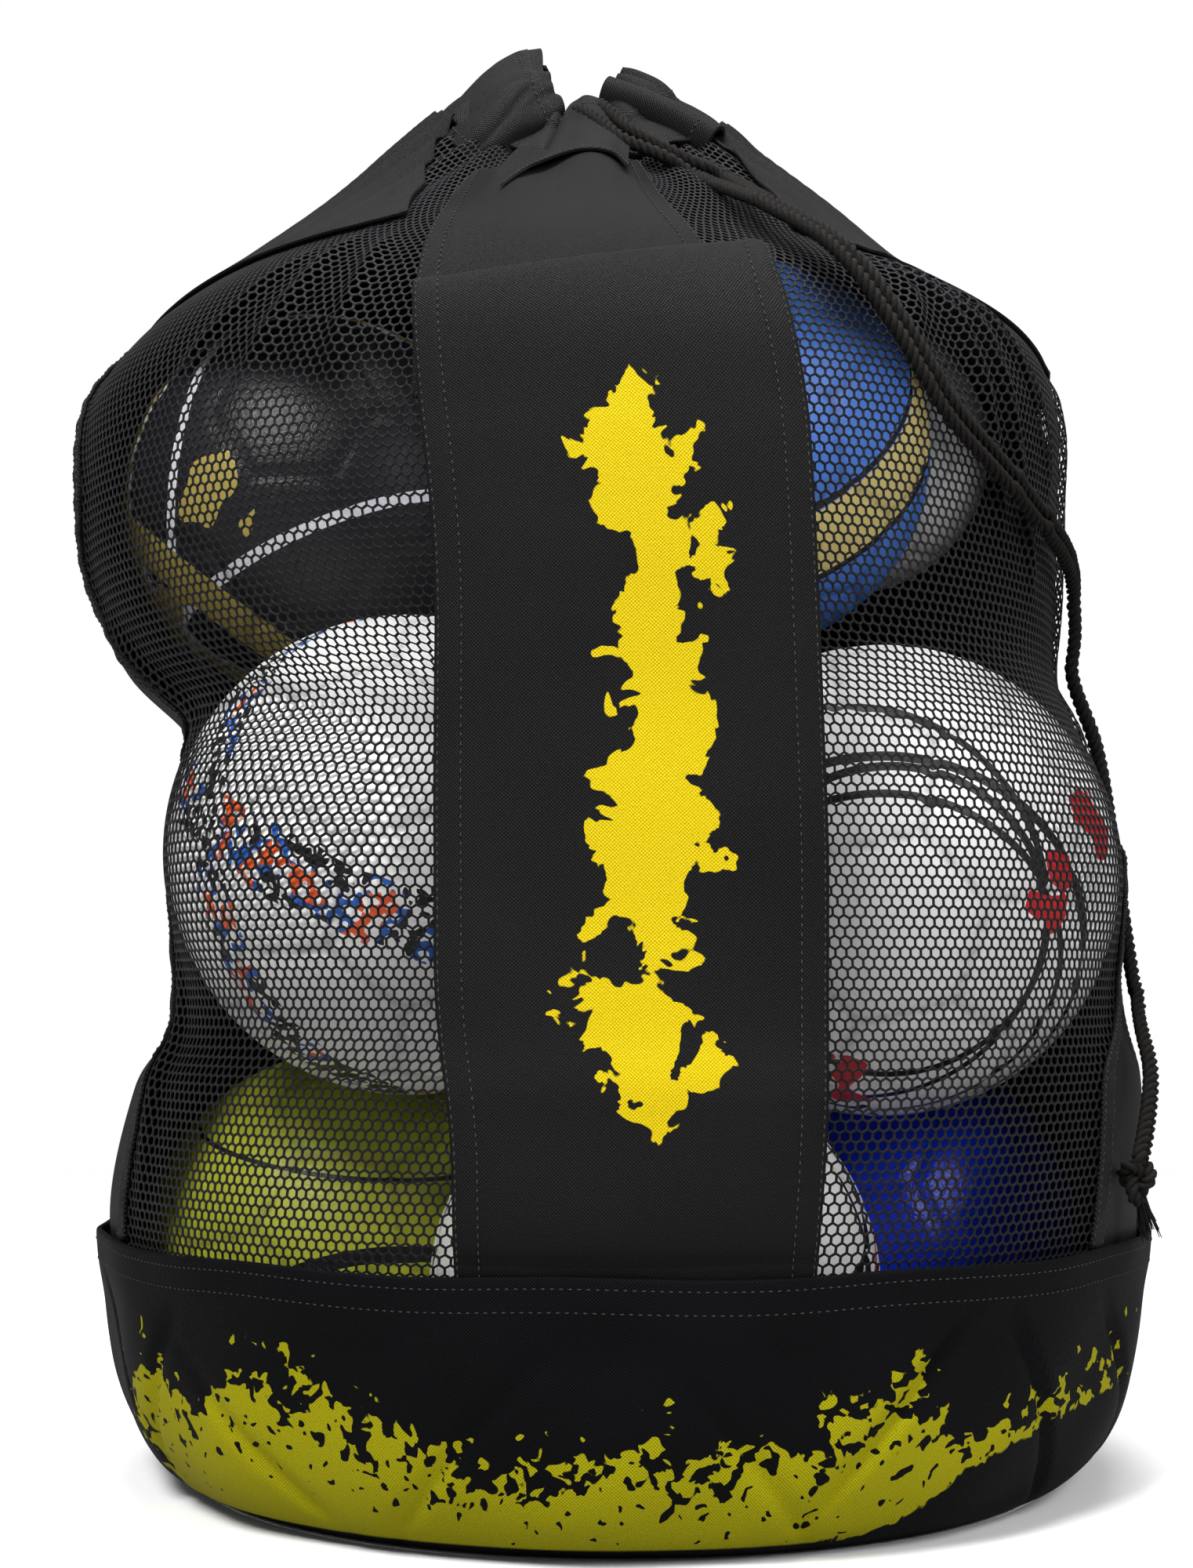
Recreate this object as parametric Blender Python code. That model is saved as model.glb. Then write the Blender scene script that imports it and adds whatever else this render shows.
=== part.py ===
"""Drawstring ball bag with a mesh front, standing loaded and with its mouth drawn shut.

Metres, +Z up. The origin is the centre of the base on the floor. The carrying strap runs
down the front, towards -Y, and +X is to the right seen from the front.

The bag's skin is a loft through STATIONS, level rings from the floor to the mouth. Each
sewn piece is a sheet of that skin, set off from it by the layers under it and thickened.
"""

import math

import bpy
import numpy as np
from mathutils import Matrix, Vector

# ---------------------------------------------------------------- driving dimensions
BAND_TOP = 0.120         # height of the base band's folded hem
BAND_R = 0.2544          # middle of the band's cloth at that hem
BASE_R = 0.2066          # base disc
DISC_T = 0.0018
CLOTH = 0.0016           # one layer of cloth, thick enough to be a sound solid
LEG = 0.0012             # each layer of a folded hem
GAP = 0.0005             # between neighbouring pieces

STRAP_W = 0.150
STRAP_FOLD = 0.529       # height of its upper fold
STRAP_LEAN = (0.0055, -0.0120)   # x of its middle at the hem and at that fold
STRAP_TILT = 0.14        # the strap's top fold climbs this much per metre towards +X

CORD_R = 0.0027
CORD_EXIT = 290.0        # azimuth where the front of the collar stops and the cord comes out
CHANNEL_R = 0.0042       # middle of the fold that carries the cord
COLLAR_HEM = 0.015       # depth of the collar's folded channel

# height, centre x, half width, half depth, swelling at the diagonals where the balls sit,
# rise towards -X, drop at front and back
STATIONS = np.array([
    (0.0560, 0.0000, 0.2300, 0.2300, 0.000, 0.0000, 0.000),
    (0.1200, 0.0000, 0.2504, 0.2504, 0.000, 0.0000, 0.000),   # base band's top edge
    (0.1860, 0.0065, 0.2445, 0.2480, 0.020, 0.0000, 0.000),
    (0.2230, 0.0107, 0.2270, 0.2400, 0.060, 0.0000, 0.000),   # waist between two layers of balls
    (0.3000, 0.0070, 0.2195, 0.2330, 0.100, 0.0000, 0.000),
    (0.3445, 0.0065, 0.2130, 0.2290, 0.080, 0.0000, 0.000),
    (0.3810, -0.0155, 0.2245, 0.2280, 0.050, 0.0000, 0.000),
    (0.4200, -0.0240, 0.2350, 0.2280, 0.030, 0.0000, 0.000),  # top layer leans to -X
    (0.4620, -0.0271, 0.2397, 0.2260, 0.020, 0.0000, 0.000),
    (0.5050, -0.0245, 0.2375, 0.2170, 0.010, 0.0000, 0.000),
    (0.5400, -0.0200, 0.2190, 0.1960, 0.000, 0.0000, 0.000),  # shoulder
    (0.5720, -0.0250, 0.1730, 0.1560, 0.000, 0.0000, 0.002),
    (0.6080, -0.0225, 0.1290, 0.1140, 0.000, 0.0000, 0.010),
    (0.6400, -0.0225, 0.0920, 0.0840, 0.000, 0.0020, 0.024),
    (0.6600, -0.0210, 0.0700, 0.0650, 0.000, 0.0030, 0.034),  # collar's lower edge
    (0.6920, -0.0240, 0.0240, 0.0300, 0.000, 0.0045, 0.036),  # mouth edge
])
HEM, SHOULDER, COLLAR, MOUTH = 1, 10, 14, 15           # rows of STATIONS
PANEL_FOOT = 0.8                                       # the panels start inside the hem

# Azimuths in degrees, counted from +X towards +Y, so 270 is the front.
LEFT_SECTOR = (128.0, 232.0)
FRONT_SECTOR = (232.0, 312.0)
RIGHT_SECTOR = (-48.0, 52.0)
BACK_SECTOR = (52.0, 128.0)
SECTOR_GAP = 1.2
# Side seams as (row, azimuth), wandering where the balls pull the two panels.
SEAM_LEFT = ((1.0, 206.0), (2.5, 206.0), (3.5, 200.0), (4.3, 198.0), (5.1, 209.0),
             (5.8, 209.0), (6.5, 202.0), (7.1, 198.5), (7.8, 204.0), (8.7, 200.0), (10.0, 188.0))
SEAM_RIGHT = ((1.0, -35.0), (2.4, -35.0), (3.2, -24.0), (4.2, -13.0), (6.0, -4.0),
              (8.0, 3.0), (10.0, 10.0))

# Middle of each layer of cloth, as a distance out from the skin.
PANEL_AT = -0.0024
BINDING_AT = -0.0002
STRAP_TOP_AT = 0.0048

# Joint axes.
PIVOTS = {
    "mouth_left": Vector((-0.2415, 0.0, 0.5415)),
    "mouth_right": Vector((0.2015, 0.0, 0.5415)),
    "cord_swing": Vector((0.2063, -0.0810, 0.4280)),
    "strap_pull": Vector((0.0, -0.2450, 0.3300)),
}


# ---------------------------------------------------------------- the skin
def station(s):
    """The ring at row s of STATIONS, which may lie between two rows (Catmull-Rom)."""
    last = len(STATIONS) - 1
    i = min(int(s), last - 1)
    t = s - i
    a, b = STATIONS[i], STATIONS[i + 1]
    before = STATIONS[i - 1] if i > 0 else 2 * a - b
    after = STATIONS[i + 2] if i + 2 <= last else 2 * b - a
    return 0.5 * (2 * a + (b - before) * t
                  + (2 * before - 5 * a + 4 * b - after) * t * t
                  + (3 * a - before - 3 * b + after) * t ** 3)


def row_at(z):
    """The row whose ring is at height z, up to the collar."""
    low, high = 0.0, float(COLLAR)
    for _ in range(40):
        middle = (low + high) / 2
        low, high = (middle, high) if station(middle)[0] < z else (low, middle)
    return low


def skin(azimuth, s, out=0.0):
    """A point of the skin at an azimuth in degrees and a row, moved out along its normal."""
    def point(degrees, row):
        z, centre, half_x, half_y, lobe, rise, drop = station(row)
        c, n = math.cos(math.radians(degrees)), math.sin(math.radians(degrees))
        swell = 1.0 + lobe * math.sin(2 * math.radians(degrees)) ** 2
        return Vector((centre + half_x * c * swell, half_y * n * swell,
                       z - rise * c - drop * n * n))

    p = point(azimuth, s)
    if not out:
        return p
    step = 0.02
    up = point(azimuth, min(s + step, MOUTH)) - point(azimuth, s - step)
    along = point(azimuth + 0.5, s) - point(azimuth - 0.5, s)
    return p + along.cross(up).normalized() * out


# ---------------------------------------------------------------- building blocks
def material(name, colour, roughness):
    made = bpy.data.materials.new(name)
    made.use_nodes = True
    shader = made.node_tree.nodes["Principled BSDF"]
    shader.inputs["Base Color"].default_value = (*colour, 1.0)
    shader.inputs["Roughness"].default_value = roughness
    shader.inputs["Metallic"].default_value = 0.0
    return made


def place(name, data, finish, pivot=None):
    """An object in the scene; with a pivot its origin is on that joint's axis."""
    data.materials.append(finish)
    made = bpy.data.objects.new(name, data)
    bpy.context.scene.collection.objects.link(made)
    if pivot:
        data.transform(Matrix.Translation(-PIVOTS[pivot]))
        made.parent = bpy.data.objects[pivot + "_axis"]
    return made


def thicken(made, thickness):
    solidify = made.modifiers.new("Cloth", "SOLIDIFY")
    solidify.thickness = thickness
    solidify.offset = 0.0


def sheet(name, grid, thickness, finish, pivot=None):
    """Cloth whose middle runs through a grid of points, rows upwards, columns to +azimuth."""
    cols = len(grid[0])
    faces = [(r * cols + c, r * cols + c + 1, (r + 1) * cols + c + 1, (r + 1) * cols + c)
             for r in range(len(grid) - 1) for c in range(cols - 1)]
    mesh = bpy.data.meshes.new(name)
    mesh.from_pydata([tuple(p) for row in grid for p in row], [], faces)
    mesh.shade_smooth()
    thicken(place(name, mesh, finish, pivot), thickness)


def turned(name, outline, finish, closed=False):
    """A profile of (radius, height), running down its outer side, turned round the Z axis."""
    edges = [(i, i + 1) for i in range(len(outline) - 1)]
    edges += [(len(outline) - 1, 0)] if closed else []
    mesh = bpy.data.meshes.new(name)
    mesh.from_pydata([(r, 0.0, z) for r, z in outline], edges, [])
    made = place(name, mesh, finish)
    screw = made.modifiers.new("Turn", "SCREW")
    screw.steps = screw.render_steps = 60
    screw.use_merge_vertices = True
    screw.merge_threshold = 0.0001
    screw.use_smooth_shade = True
    return made


def cord_length(name, path, finish, pivot=None, sides=8, radii=None):
    """A round cord along a path, with filled ends; radii vary it as shares of CORD_R."""
    curve = bpy.data.curves.new(name, "CURVE")
    curve.dimensions = "3D"
    curve.bevel_depth = CORD_R
    curve.bevel_resolution = sides // 2 - 2
    curve.use_fill_caps = True
    spline = curve.splines.new("POLY")
    spline.points.add(len(path) - 1)
    for i, (point, p) in enumerate(zip(spline.points, path)):
        point.co = (*p, 1.0)
        point.radius = radii[i] if radii else 1.0
    place(name, curve, finish, pivot)


def steps_between(low, high, count):
    return [low + (high - low) * i / (count - 1) for i in range(count)]


def skin_panel(name, rows, left, right, cols, finish, at=PANEL_AT, pivot=None):
    """A sheet of the skin; left and right give the azimuth of its side edges at each row."""
    grid = [[skin(a, s, at) for a in steps_between(left(s), right(s), cols)] for s in rows]
    sheet(name, grid, CLOTH, finish, pivot)


def smooth_path(knots, per_span):
    """Points on a Catmull-Rom curve through knots."""
    ends = [2 * knots[0] - knots[1], *knots, 2 * knots[-1] - knots[-2]]
    made = []
    for i in range(len(knots) - 1):
        a, b, c, d = ends[i:i + 4]
        for k in range(per_span):
            t = k / per_span
            made.append(0.5 * (2 * b + (c - a) * t + (2 * a - 5 * b + 4 * c - d) * t * t
                               + (3 * b - a - 3 * c + d) * t ** 3))
    return made + [knots[-1]]


# ---------------------------------------------------------------- base
def base(cloth, tape):
    """Round bottom panel, the wall round it with its top edge folded in, and the tape that
    binds the seam between them inside the bag."""
    bpy.ops.mesh.primitive_cylinder_add(vertices=60, radius=BASE_R, depth=DISC_T,
                                        location=(0.0, 0.0, DISC_T / 2))
    disc = bpy.context.active_object
    disc.name = "base_disc"
    disc.data.materials.append(cloth)

    low, high, inner, outer = DISC_T + GAP, 0.0100, BASE_R - 0.0046, BASE_R - 0.0008
    turned("base_seam_binding", [(outer, high), (outer, low), (inner, low), (inner, high)],
           tape, closed=True)

    slope = 0.16                       # how fast the wall leans out near its top
    between = (LEG + GAP) / 2          # from the fold's centre to the middle of each layer
    top = BAND_TOP - between - LEG / 2
    centre = BAND_R - between
    foot = 0.0140
    inner_leg = [(centre - between - slope * foot, top - foot), (centre - between, top)]
    fold = [(centre - between * math.cos(a), top + between * math.sin(a))
            for a in (math.pi / 4, math.pi / 2, 3 * math.pi / 4)]
    wall = [(BAND_R, top), (0.2512, 0.0920), (0.2486, 0.0680), (0.2436, 0.0440),
            (0.2350, 0.0240), (0.2228, 0.0092), (BASE_R + 0.0014, 0.0012)]
    thicken(turned("base_band", inner_leg + fold + wall, cloth), LEG)


# ---------------------------------------------------------------- body
BODY_ROWS = steps_between(HEM, SHOULDER - 0.06, 13)


def seam(knots):
    """Azimuth of a side seam at a row between the hem and the shoulder."""
    return lambda s: float(np.interp(s, *zip(*knots)))


def shifted(azimuth, by):
    return lambda s: azimuth(s) + by


def body_panels(mesh, cloth):
    """Mesh front and solid back, sewn to each other at the two side seams."""
    left, right = seam(SEAM_LEFT), seam(SEAM_RIGHT)
    rows = [PANEL_FOOT] + BODY_ROWS
    skin_panel("mesh_front", rows, shifted(left, 0.15), shifted(right, 359.85), 19, mesh)
    skin_panel("back_panel", rows, shifted(right, 0.15), shifted(left, -0.15), 19, cloth)


def side_bindings(cloth):
    """Folded tape over each side seam, from the hem to the shoulder."""
    rows = [row_at(BAND_TOP + 0.002)] + BODY_ROWS[1:]
    for name, knots in (("side_binding_left", SEAM_LEFT), ("side_binding_right", SEAM_RIGHT)):
        azimuth = seam(knots)
        skin_panel(name, rows, shifted(azimuth, -1.6), shifted(azimuth, 1.6), 3, cloth,
                   BINDING_AT)


def shoulders(mesh, cloth):
    """The top of both panels, between the shoulder and the collar, which the cord gathers."""
    rows = steps_between(SHOULDER, COLLAR - 0.06, 6)
    left_seam, right_seam = SEAM_LEFT[-1][1], SEAM_RIGHT[-1][1]

    def part(name, low, high, cols, finish, pivot=None):
        skin_panel(name, rows, lambda s: low + SECTOR_GAP / 2, lambda s: high - SECTOR_GAP / 2,
                   cols, finish, pivot=pivot)

    part("mesh_shoulder_left", left_seam, LEFT_SECTOR[1], 6, mesh, "mouth_left")
    part("panel_shoulder_left", LEFT_SECTOR[0], left_seam, 7, cloth, "mouth_left")
    part("mesh_shoulder_right", RIGHT_SECTOR[0], right_seam, 7, mesh, "mouth_right")
    part("panel_shoulder_right", right_seam, RIGHT_SECTOR[1], 6, cloth, "mouth_right")
    part("mesh_shoulder_front", *FRONT_SECTOR, 9, mesh)
    part("panel_shoulder_back", *BACK_SECTOR, 9, cloth)


# ---------------------------------------------------------------- collar and its cord
def collar_frame(azimuth):
    """Mouth edge point, a step down the collar that gains 1 square to the edge, the normal
    out of it, and the collar's depth in those steps, at an azimuth."""
    edge, foot = skin(azimuth, MOUTH), skin(azimuth, COLLAR)
    along = (skin(azimuth + 0.5, MOUTH) - skin(azimuth - 0.5, MOUTH)).normalized()
    down = (foot - edge).normalized()
    square = down.cross(along)
    return edge, down / square.length, square.normalized(), (foot - edge).length * square.length


def hem_line(length):
    """Middle of the collar's cloth in section, as (distance down from the edge, distance
    out): a short inner leg sewn to the outer one, a fold over the cord, and the outer leg."""
    sewn = -LEG - GAP
    fold = [(CHANNEL_R - CHANNEL_R * math.sin(a), -CHANNEL_R - CHANNEL_R * math.cos(a))
            for a in steps_between(0.0, math.pi, 7)]
    return ([(COLLAR_HEM, sewn), (COLLAR_HEM - 0.003, sewn), (CHANNEL_R + 0.004, -2 * CHANNEL_R)]
            + fold + [(length, 0.0)])


def collar_part(name, azimuths, cloth, pivot=None):
    """A stretch of the collar, from the shoulder's top to the mouth."""
    columns = []
    for azimuth in azimuths:
        edge, down, out, length = collar_frame(azimuth)
        columns.append([edge + down * d + out * o for d, o in hem_line(length)])
    grid = [list(row) for row in zip(*columns)][::-1]
    sheet(name, grid, LEG, cloth, pivot)


def channel_cord(name, azimuths, cord, pivot=None):
    """The length of cord inside one stretch of the collar."""
    path = []
    for azimuth in azimuths:
        edge, down, out, _ = collar_frame(azimuth)
        path.append(edge + down * CHANNEL_R - out * CHANNEL_R)
    cord_length(name, path, cord, pivot)


def collar(cloth, cord):
    """Four stretches of collar. The front one stops short, and both cord ends leave there."""
    for side, sector, cols, pivot in (("left", LEFT_SECTOR, 8, "mouth_left"),
                                      ("right", RIGHT_SECTOR, 8, "mouth_right"),
                                      ("back", BACK_SECTOR, 6, None),
                                      ("front", (FRONT_SECTOR[0], CORD_EXIT), 5, None)):
        azimuths = steps_between(sector[0] + SECTOR_GAP, sector[1] - SECTOR_GAP, cols)
        collar_part("collar_" + side, azimuths, cloth, pivot)
        channel_cord("channel_cord_" + side, azimuths, cord, pivot)


# ---------------------------------------------------------------- free ends of the cord
def strand(knots, shift):
    """The line of one strand: knots of (azimuth, height, distance out) over the skin, moved
    sideways across the line by a distance."""
    line = [skin(a, row_at(z), out) for a, z, out in knots]
    moved = []
    for i, (p, (a, z, _)) in enumerate(zip(line, knots)):
        ahead = line[min(i + 1, len(line) - 1)] - line[max(i - 1, 0)]
        normal = p - skin(a, row_at(z))
        moved.append(p + ahead.cross(normal).normalized() * shift)
    return moved


def cord_ends(cord):
    """Two strands leave the collar at its front, cross the right shoulder, and hang together
    to a knot at the base band's hem."""
    over = [(294.0, 0.6390, 0.0100), (291.0, 0.6000, 0.0110), (296.0, 0.5760, 0.0100),
            (299.5, 0.5420, 0.0080), (304.5, 0.5110, 0.0065), (312.0, 0.4740, 0.0060),
            (325.0, 0.4450, 0.0060), (335.0, 0.4330, 0.0065)]
    hang = [(340.0, 0.4280, 0.0070), (345.0, 0.4180, 0.0066), (346.5, 0.3980, 0.0062),
            (347.5, 0.3480, 0.0065), (348.0, 0.2950, 0.0060), (346.0, 0.2400, 0.0075),
            (337.0, 0.1980, 0.0062), (330.5, 0.1620, 0.0075)]
    for label, exit_azimuth, shift in (("a", CORD_EXIT + 5.5, 0.0033),
                                       ("b", CORD_EXIT + 17.5, -0.0033)):
        edge, down, out, _ = collar_frame(exit_azimuth)
        run = [edge + down * CHANNEL_R - out * CHANNEL_R,
               edge + down * 0.010 + out * 0.0040, edge + down * 0.022 + out * 0.0075]
        line = strand(over + hang, shift)
        run += line[:len(over)]
        cord_length("cord_run_" + label, smooth_path(run, 3), cord)
        cord_length("cord_tail_" + label, smooth_path(line[len(over):], 3), cord, "cord_swing")


def cord_knot(cord):
    """Both strands end in one knot, with its short tail below."""
    top, foot = Vector((0.2250, -0.1320, 0.1560)), Vector((0.2330, -0.1240, 0.1230))
    knob, waist = 2.7, 0.62            # knot's radius in cord radii, and where its tail starts
    shares = steps_between(0.0, 1.0, 12)
    radii = [max(knob * math.sin(math.pi * min(s / waist, 1.0)) ** 0.6, 1.0 - 0.35 * s)
             for s in shares]
    cord_length("cord_knot", [top.lerp(foot, s) for s in shares], cord, "cord_swing", 10, radii)


# ---------------------------------------------------------------- carrying strap
def front_depth(z, out):
    """y of the bag's front at a height, a distance out from the skin."""
    return skin(270.0, row_at(z), out).y


def eased(value, low, high):
    """0 below low, 1 above high, and straight between."""
    return min(max((value - low) / (high - low), 0.0), 1.0)


def strap_sheet(name, path, cloth, pivot=None):
    """A strip across X along a path of (height, distance out from the bag's front), tilted
    with the strap's fold and bowed round the bag."""
    grid = []
    for z, out in path:
        centre = np.interp(z, (BAND_TOP, STRAP_FOLD), STRAP_LEAN)
        half = STRAP_W / 2 - 0.009 * eased(z, 0.30, STRAP_FOLD)
        tilt = STRAP_TILT * eased(z, 0.42, STRAP_FOLD)
        bow = 2.15 - 1.05 * eased(z, BAND_TOP, BAND_TOP + 0.07)
        grid.append([Vector((x, front_depth(z + tilt * (x - centre), out) + bow * x * x,
                             z + tilt * (x - centre)))
                     for x in steps_between(centre - half, centre + half, 7)])
    sheet(name, grid, CLOTH, cloth, pivot)


def strap_top(cloth):
    """The strap's sewn end: it lies on the front shoulder and narrows into the collar seam."""
    grid = []
    for z in (0.4750, 0.4950, 0.5150, 0.5400, 0.5650, 0.5900, 0.6120, 0.6330):
        row = row_at(z)
        _, centre, half_x, *_ = station(row)
        narrow = eased(z, 0.52, 0.65)
        left, right = -0.0920 + 0.042 * narrow, 0.0500 - 0.040 * narrow
        grid.append([skin(270.0 + math.degrees(math.asin((x - centre) / half_x)), row,
                          STRAP_TOP_AT) for x in steps_between(left, right, 7)])
    sheet("strap_top", grid, CLOTH, cloth)


def strap(cloth):
    """One long strip: sewn into the base hem, up the front, folded twice where it is slack,
    and sewn to the front of the collar."""
    strap_sheet("strap_foot", [(0.1060, 0.0006), (0.1170, 0.0004), (0.1230, 0.0006),
                               (0.1330, 0.0030), (0.1450, 0.0055)], cloth)
    front = [(0.1490, 0.0062), (0.1860, 0.0090), (0.2230, 0.0120), (0.2700, 0.0125),
             (0.3200, 0.0140), (0.3700, 0.0170), (0.4200, 0.0170), (0.4620, 0.0180),
             (0.4950, 0.0200), (0.5180, 0.0215), (0.5270, 0.0195), (STRAP_FOLD, 0.0160)]
    strap_sheet("strap_body", front, cloth, "strap_pull")
    strap_sheet("strap_fold", [(0.4750, 0.0120), (0.4980, 0.0120), (0.5200, 0.0125)], cloth,
                "strap_pull")
    strap_top(cloth)


def main():
    for old in list(bpy.data.objects):
        bpy.data.objects.remove(old)
    for name, spot in PIVOTS.items():
        empty = bpy.data.objects.new(name + "_axis", None)
        empty.location = spot
        bpy.context.scene.collection.objects.link(empty)

    cloth = material("black_polyester", (0.018, 0.018, 0.019), 0.72)
    mesh = material("black_mesh", (0.012, 0.012, 0.013), 0.65)
    tape = material("black_tape", (0.015, 0.015, 0.016), 0.80)
    cord = material("braided_cord", (0.022, 0.021, 0.018), 0.85)

    base(cloth, tape)
    body_panels(mesh, cloth)
    side_bindings(cloth)
    shoulders(mesh, cloth)
    collar(cloth, cord)
    cord_ends(cord)
    cord_knot(cord)
    strap(cloth)


main()
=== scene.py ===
"""Looks of the mesh ball bag, loaded with ten balls and drawn shut, on a plain studio floor.

Metres, +Z up. The strap runs down the front, towards -Y. Every sheet of cloth is built
on the bag's skin, a loft through level rings, pushed out where a ball presses on it.
"""

import math

import bpy
import numpy as np
from mathutils import Matrix, Vector


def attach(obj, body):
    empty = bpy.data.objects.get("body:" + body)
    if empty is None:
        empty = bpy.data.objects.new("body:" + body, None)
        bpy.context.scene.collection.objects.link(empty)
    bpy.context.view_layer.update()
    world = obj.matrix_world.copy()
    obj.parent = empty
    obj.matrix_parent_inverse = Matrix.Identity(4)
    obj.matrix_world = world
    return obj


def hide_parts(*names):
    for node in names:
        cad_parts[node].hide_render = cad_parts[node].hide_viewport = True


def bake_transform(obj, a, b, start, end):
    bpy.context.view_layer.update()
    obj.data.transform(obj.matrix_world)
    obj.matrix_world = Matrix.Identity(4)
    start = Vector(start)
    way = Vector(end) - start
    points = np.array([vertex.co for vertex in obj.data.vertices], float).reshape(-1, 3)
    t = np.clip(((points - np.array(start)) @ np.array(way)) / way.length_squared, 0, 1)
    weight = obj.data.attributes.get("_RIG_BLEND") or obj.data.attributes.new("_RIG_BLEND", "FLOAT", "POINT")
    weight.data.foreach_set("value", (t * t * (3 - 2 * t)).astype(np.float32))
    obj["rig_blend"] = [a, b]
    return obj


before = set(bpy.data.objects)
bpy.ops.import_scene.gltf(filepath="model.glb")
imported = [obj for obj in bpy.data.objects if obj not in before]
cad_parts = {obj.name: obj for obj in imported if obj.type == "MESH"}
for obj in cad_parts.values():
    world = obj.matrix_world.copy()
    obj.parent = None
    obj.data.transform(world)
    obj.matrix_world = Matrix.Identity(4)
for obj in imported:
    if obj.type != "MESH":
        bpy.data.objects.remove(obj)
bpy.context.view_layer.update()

# ---------------------------------------------------------------- shape of the bag
# height, centre x, half width, half depth, swelling at the diagonals, rise towards -X,
# drop at front and back
STATIONS = np.array([
    (0.0560, 0.0000, 0.2300, 0.2300, 0.000, 0.0000, 0.000),
    (0.1200, 0.0000, 0.2504, 0.2504, 0.000, 0.0000, 0.000),   # base band's top edge
    (0.1860, 0.0065, 0.2445, 0.2480, 0.020, 0.0000, 0.000),
    (0.2230, 0.0107, 0.2270, 0.2400, 0.060, 0.0000, 0.000),
    (0.3000, 0.0070, 0.2195, 0.2330, 0.100, 0.0000, 0.000),
    (0.3445, 0.0065, 0.2130, 0.2290, 0.080, 0.0000, 0.000),
    (0.3810, -0.0155, 0.2245, 0.2280, 0.050, 0.0000, 0.000),
    (0.4200, -0.0240, 0.2350, 0.2280, 0.030, 0.0000, 0.000),
    (0.4620, -0.0271, 0.2397, 0.2260, 0.020, 0.0000, 0.000),
    (0.5050, -0.0245, 0.2375, 0.2170, 0.010, 0.0000, 0.000),
    (0.5400, -0.0200, 0.2190, 0.1960, 0.000, 0.0000, 0.000),  # shoulder
    (0.5720, -0.0250, 0.1730, 0.1560, 0.000, 0.0000, 0.002),
    (0.6080, -0.0225, 0.1290, 0.1140, 0.000, 0.0000, 0.010),
    (0.6400, -0.0225, 0.0920, 0.0840, 0.000, 0.0020, 0.024),
    (0.6600, -0.0210, 0.0700, 0.0650, 0.000, 0.0030, 0.034),  # collar's lower edge
    (0.6920, -0.0240, 0.0240, 0.0300, 0.000, 0.0045, 0.036),  # mouth edge
])
HEM, SHOULDER, COLLAR, MOUTH = 1, 10, 14, 15
# Side seams as (row, azimuth), wandering where the balls pull the two panels.
SEAM_LEFT = ((1.0, 206.0), (2.5, 206.0), (3.5, 200.0), (4.3, 198.0), (5.1, 209.0),
             (5.8, 209.0), (6.5, 202.0), (7.1, 198.5), (7.8, 204.0), (8.7, 200.0), (10.0, 188.0))
SEAM_RIGHT = ((1.0, -35.0), (2.4, -35.0), (3.2, -24.0), (4.2, -13.0), (6.0, -4.0),
              (8.0, 3.0), (10.0, 10.0))
BAND_TOP = 0.120
BASE_R = 0.2066
TOP_ROW = 13.94      # where the mesh and the back cloth end, under the collar
PATTERN_R = 0.24     # radius at which the cloth's pattern is laid flat

# centre, radius of each ball
BALLS = {
    "top_left": ((-0.1550, 0.0250, 0.4720), 0.098),
    "top_middle": ((0.0560, 0.0000, 0.4960), 0.095),
    "top_back": ((0.1200, 0.0950, 0.5180), 0.074),
    "middle_left": ((-0.0960, -0.1120, 0.2927), 0.107),
    "middle_right": ((0.1180, -0.0820, 0.2825), 0.108),
    "middle_back": ((0.0000, 0.1150, 0.3100), 0.104),
    "low_left": ((-0.1330, -0.0200, 0.1040), 0.099),
    "low_middle": ((0.0136, -0.1320, 0.1020), 0.099),
    "low_right": ((0.1320, 0.0300, 0.1040), 0.099),
    "low_back": ((-0.0200, 0.1400, 0.1020), 0.097),
}


def ease(t):
    t = np.clip(t, 0.0, 1.0)
    return t * t * (3.0 - 2.0 * t)


def curve(knots, t):
    """Points on the Catmull-Rom curve through knots, at shares t of its spans."""
    knots = np.asarray(knots, float)
    last = len(knots) - 1
    padded = np.concatenate([[2 * knots[0] - knots[1]], knots, [2 * knots[-1] - knots[-2]]])
    x = np.clip(np.asarray(t, float) * last, 0.0, last)
    i = np.minimum(x.astype(int), last - 1)
    f = (x - i).reshape(x.shape + (1,) * (knots.ndim - 1))
    before, a, b, after = padded[i], padded[i + 1], padded[i + 2], padded[i + 3]
    return 0.5 * (2 * a + (b - before) * f + (2 * before - 5 * a + 4 * b - after) * f ** 2
                  + (3 * a - before - 3 * b + after) * f ** 3)


def smooth(knots, count):
    """A number of points on the curve through knots."""
    return curve(knots, np.linspace(0, 1, count))


def unit(vectors):
    return vectors / np.maximum(np.linalg.norm(vectors, axis=-1, keepdims=True), 1e-12)


def lengths(path):
    """How far along a path each of its points is."""
    return np.concatenate([[0], np.cumsum(np.linalg.norm(np.diff(path, axis=0), axis=1))])


def along_path(at, length, points):
    """Points or directions known at lengths along a path, read at other lengths."""
    return np.stack([np.interp(at, length, points[:, k]) for k in range(3)], -1)


def polar(r, angle, z):
    """Points at radii, angles in radians and heights."""
    r, angle, z = np.broadcast_arrays(r, angle, z)
    return np.stack([r * np.cos(angle), r * np.sin(angle), z], -1)


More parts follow.
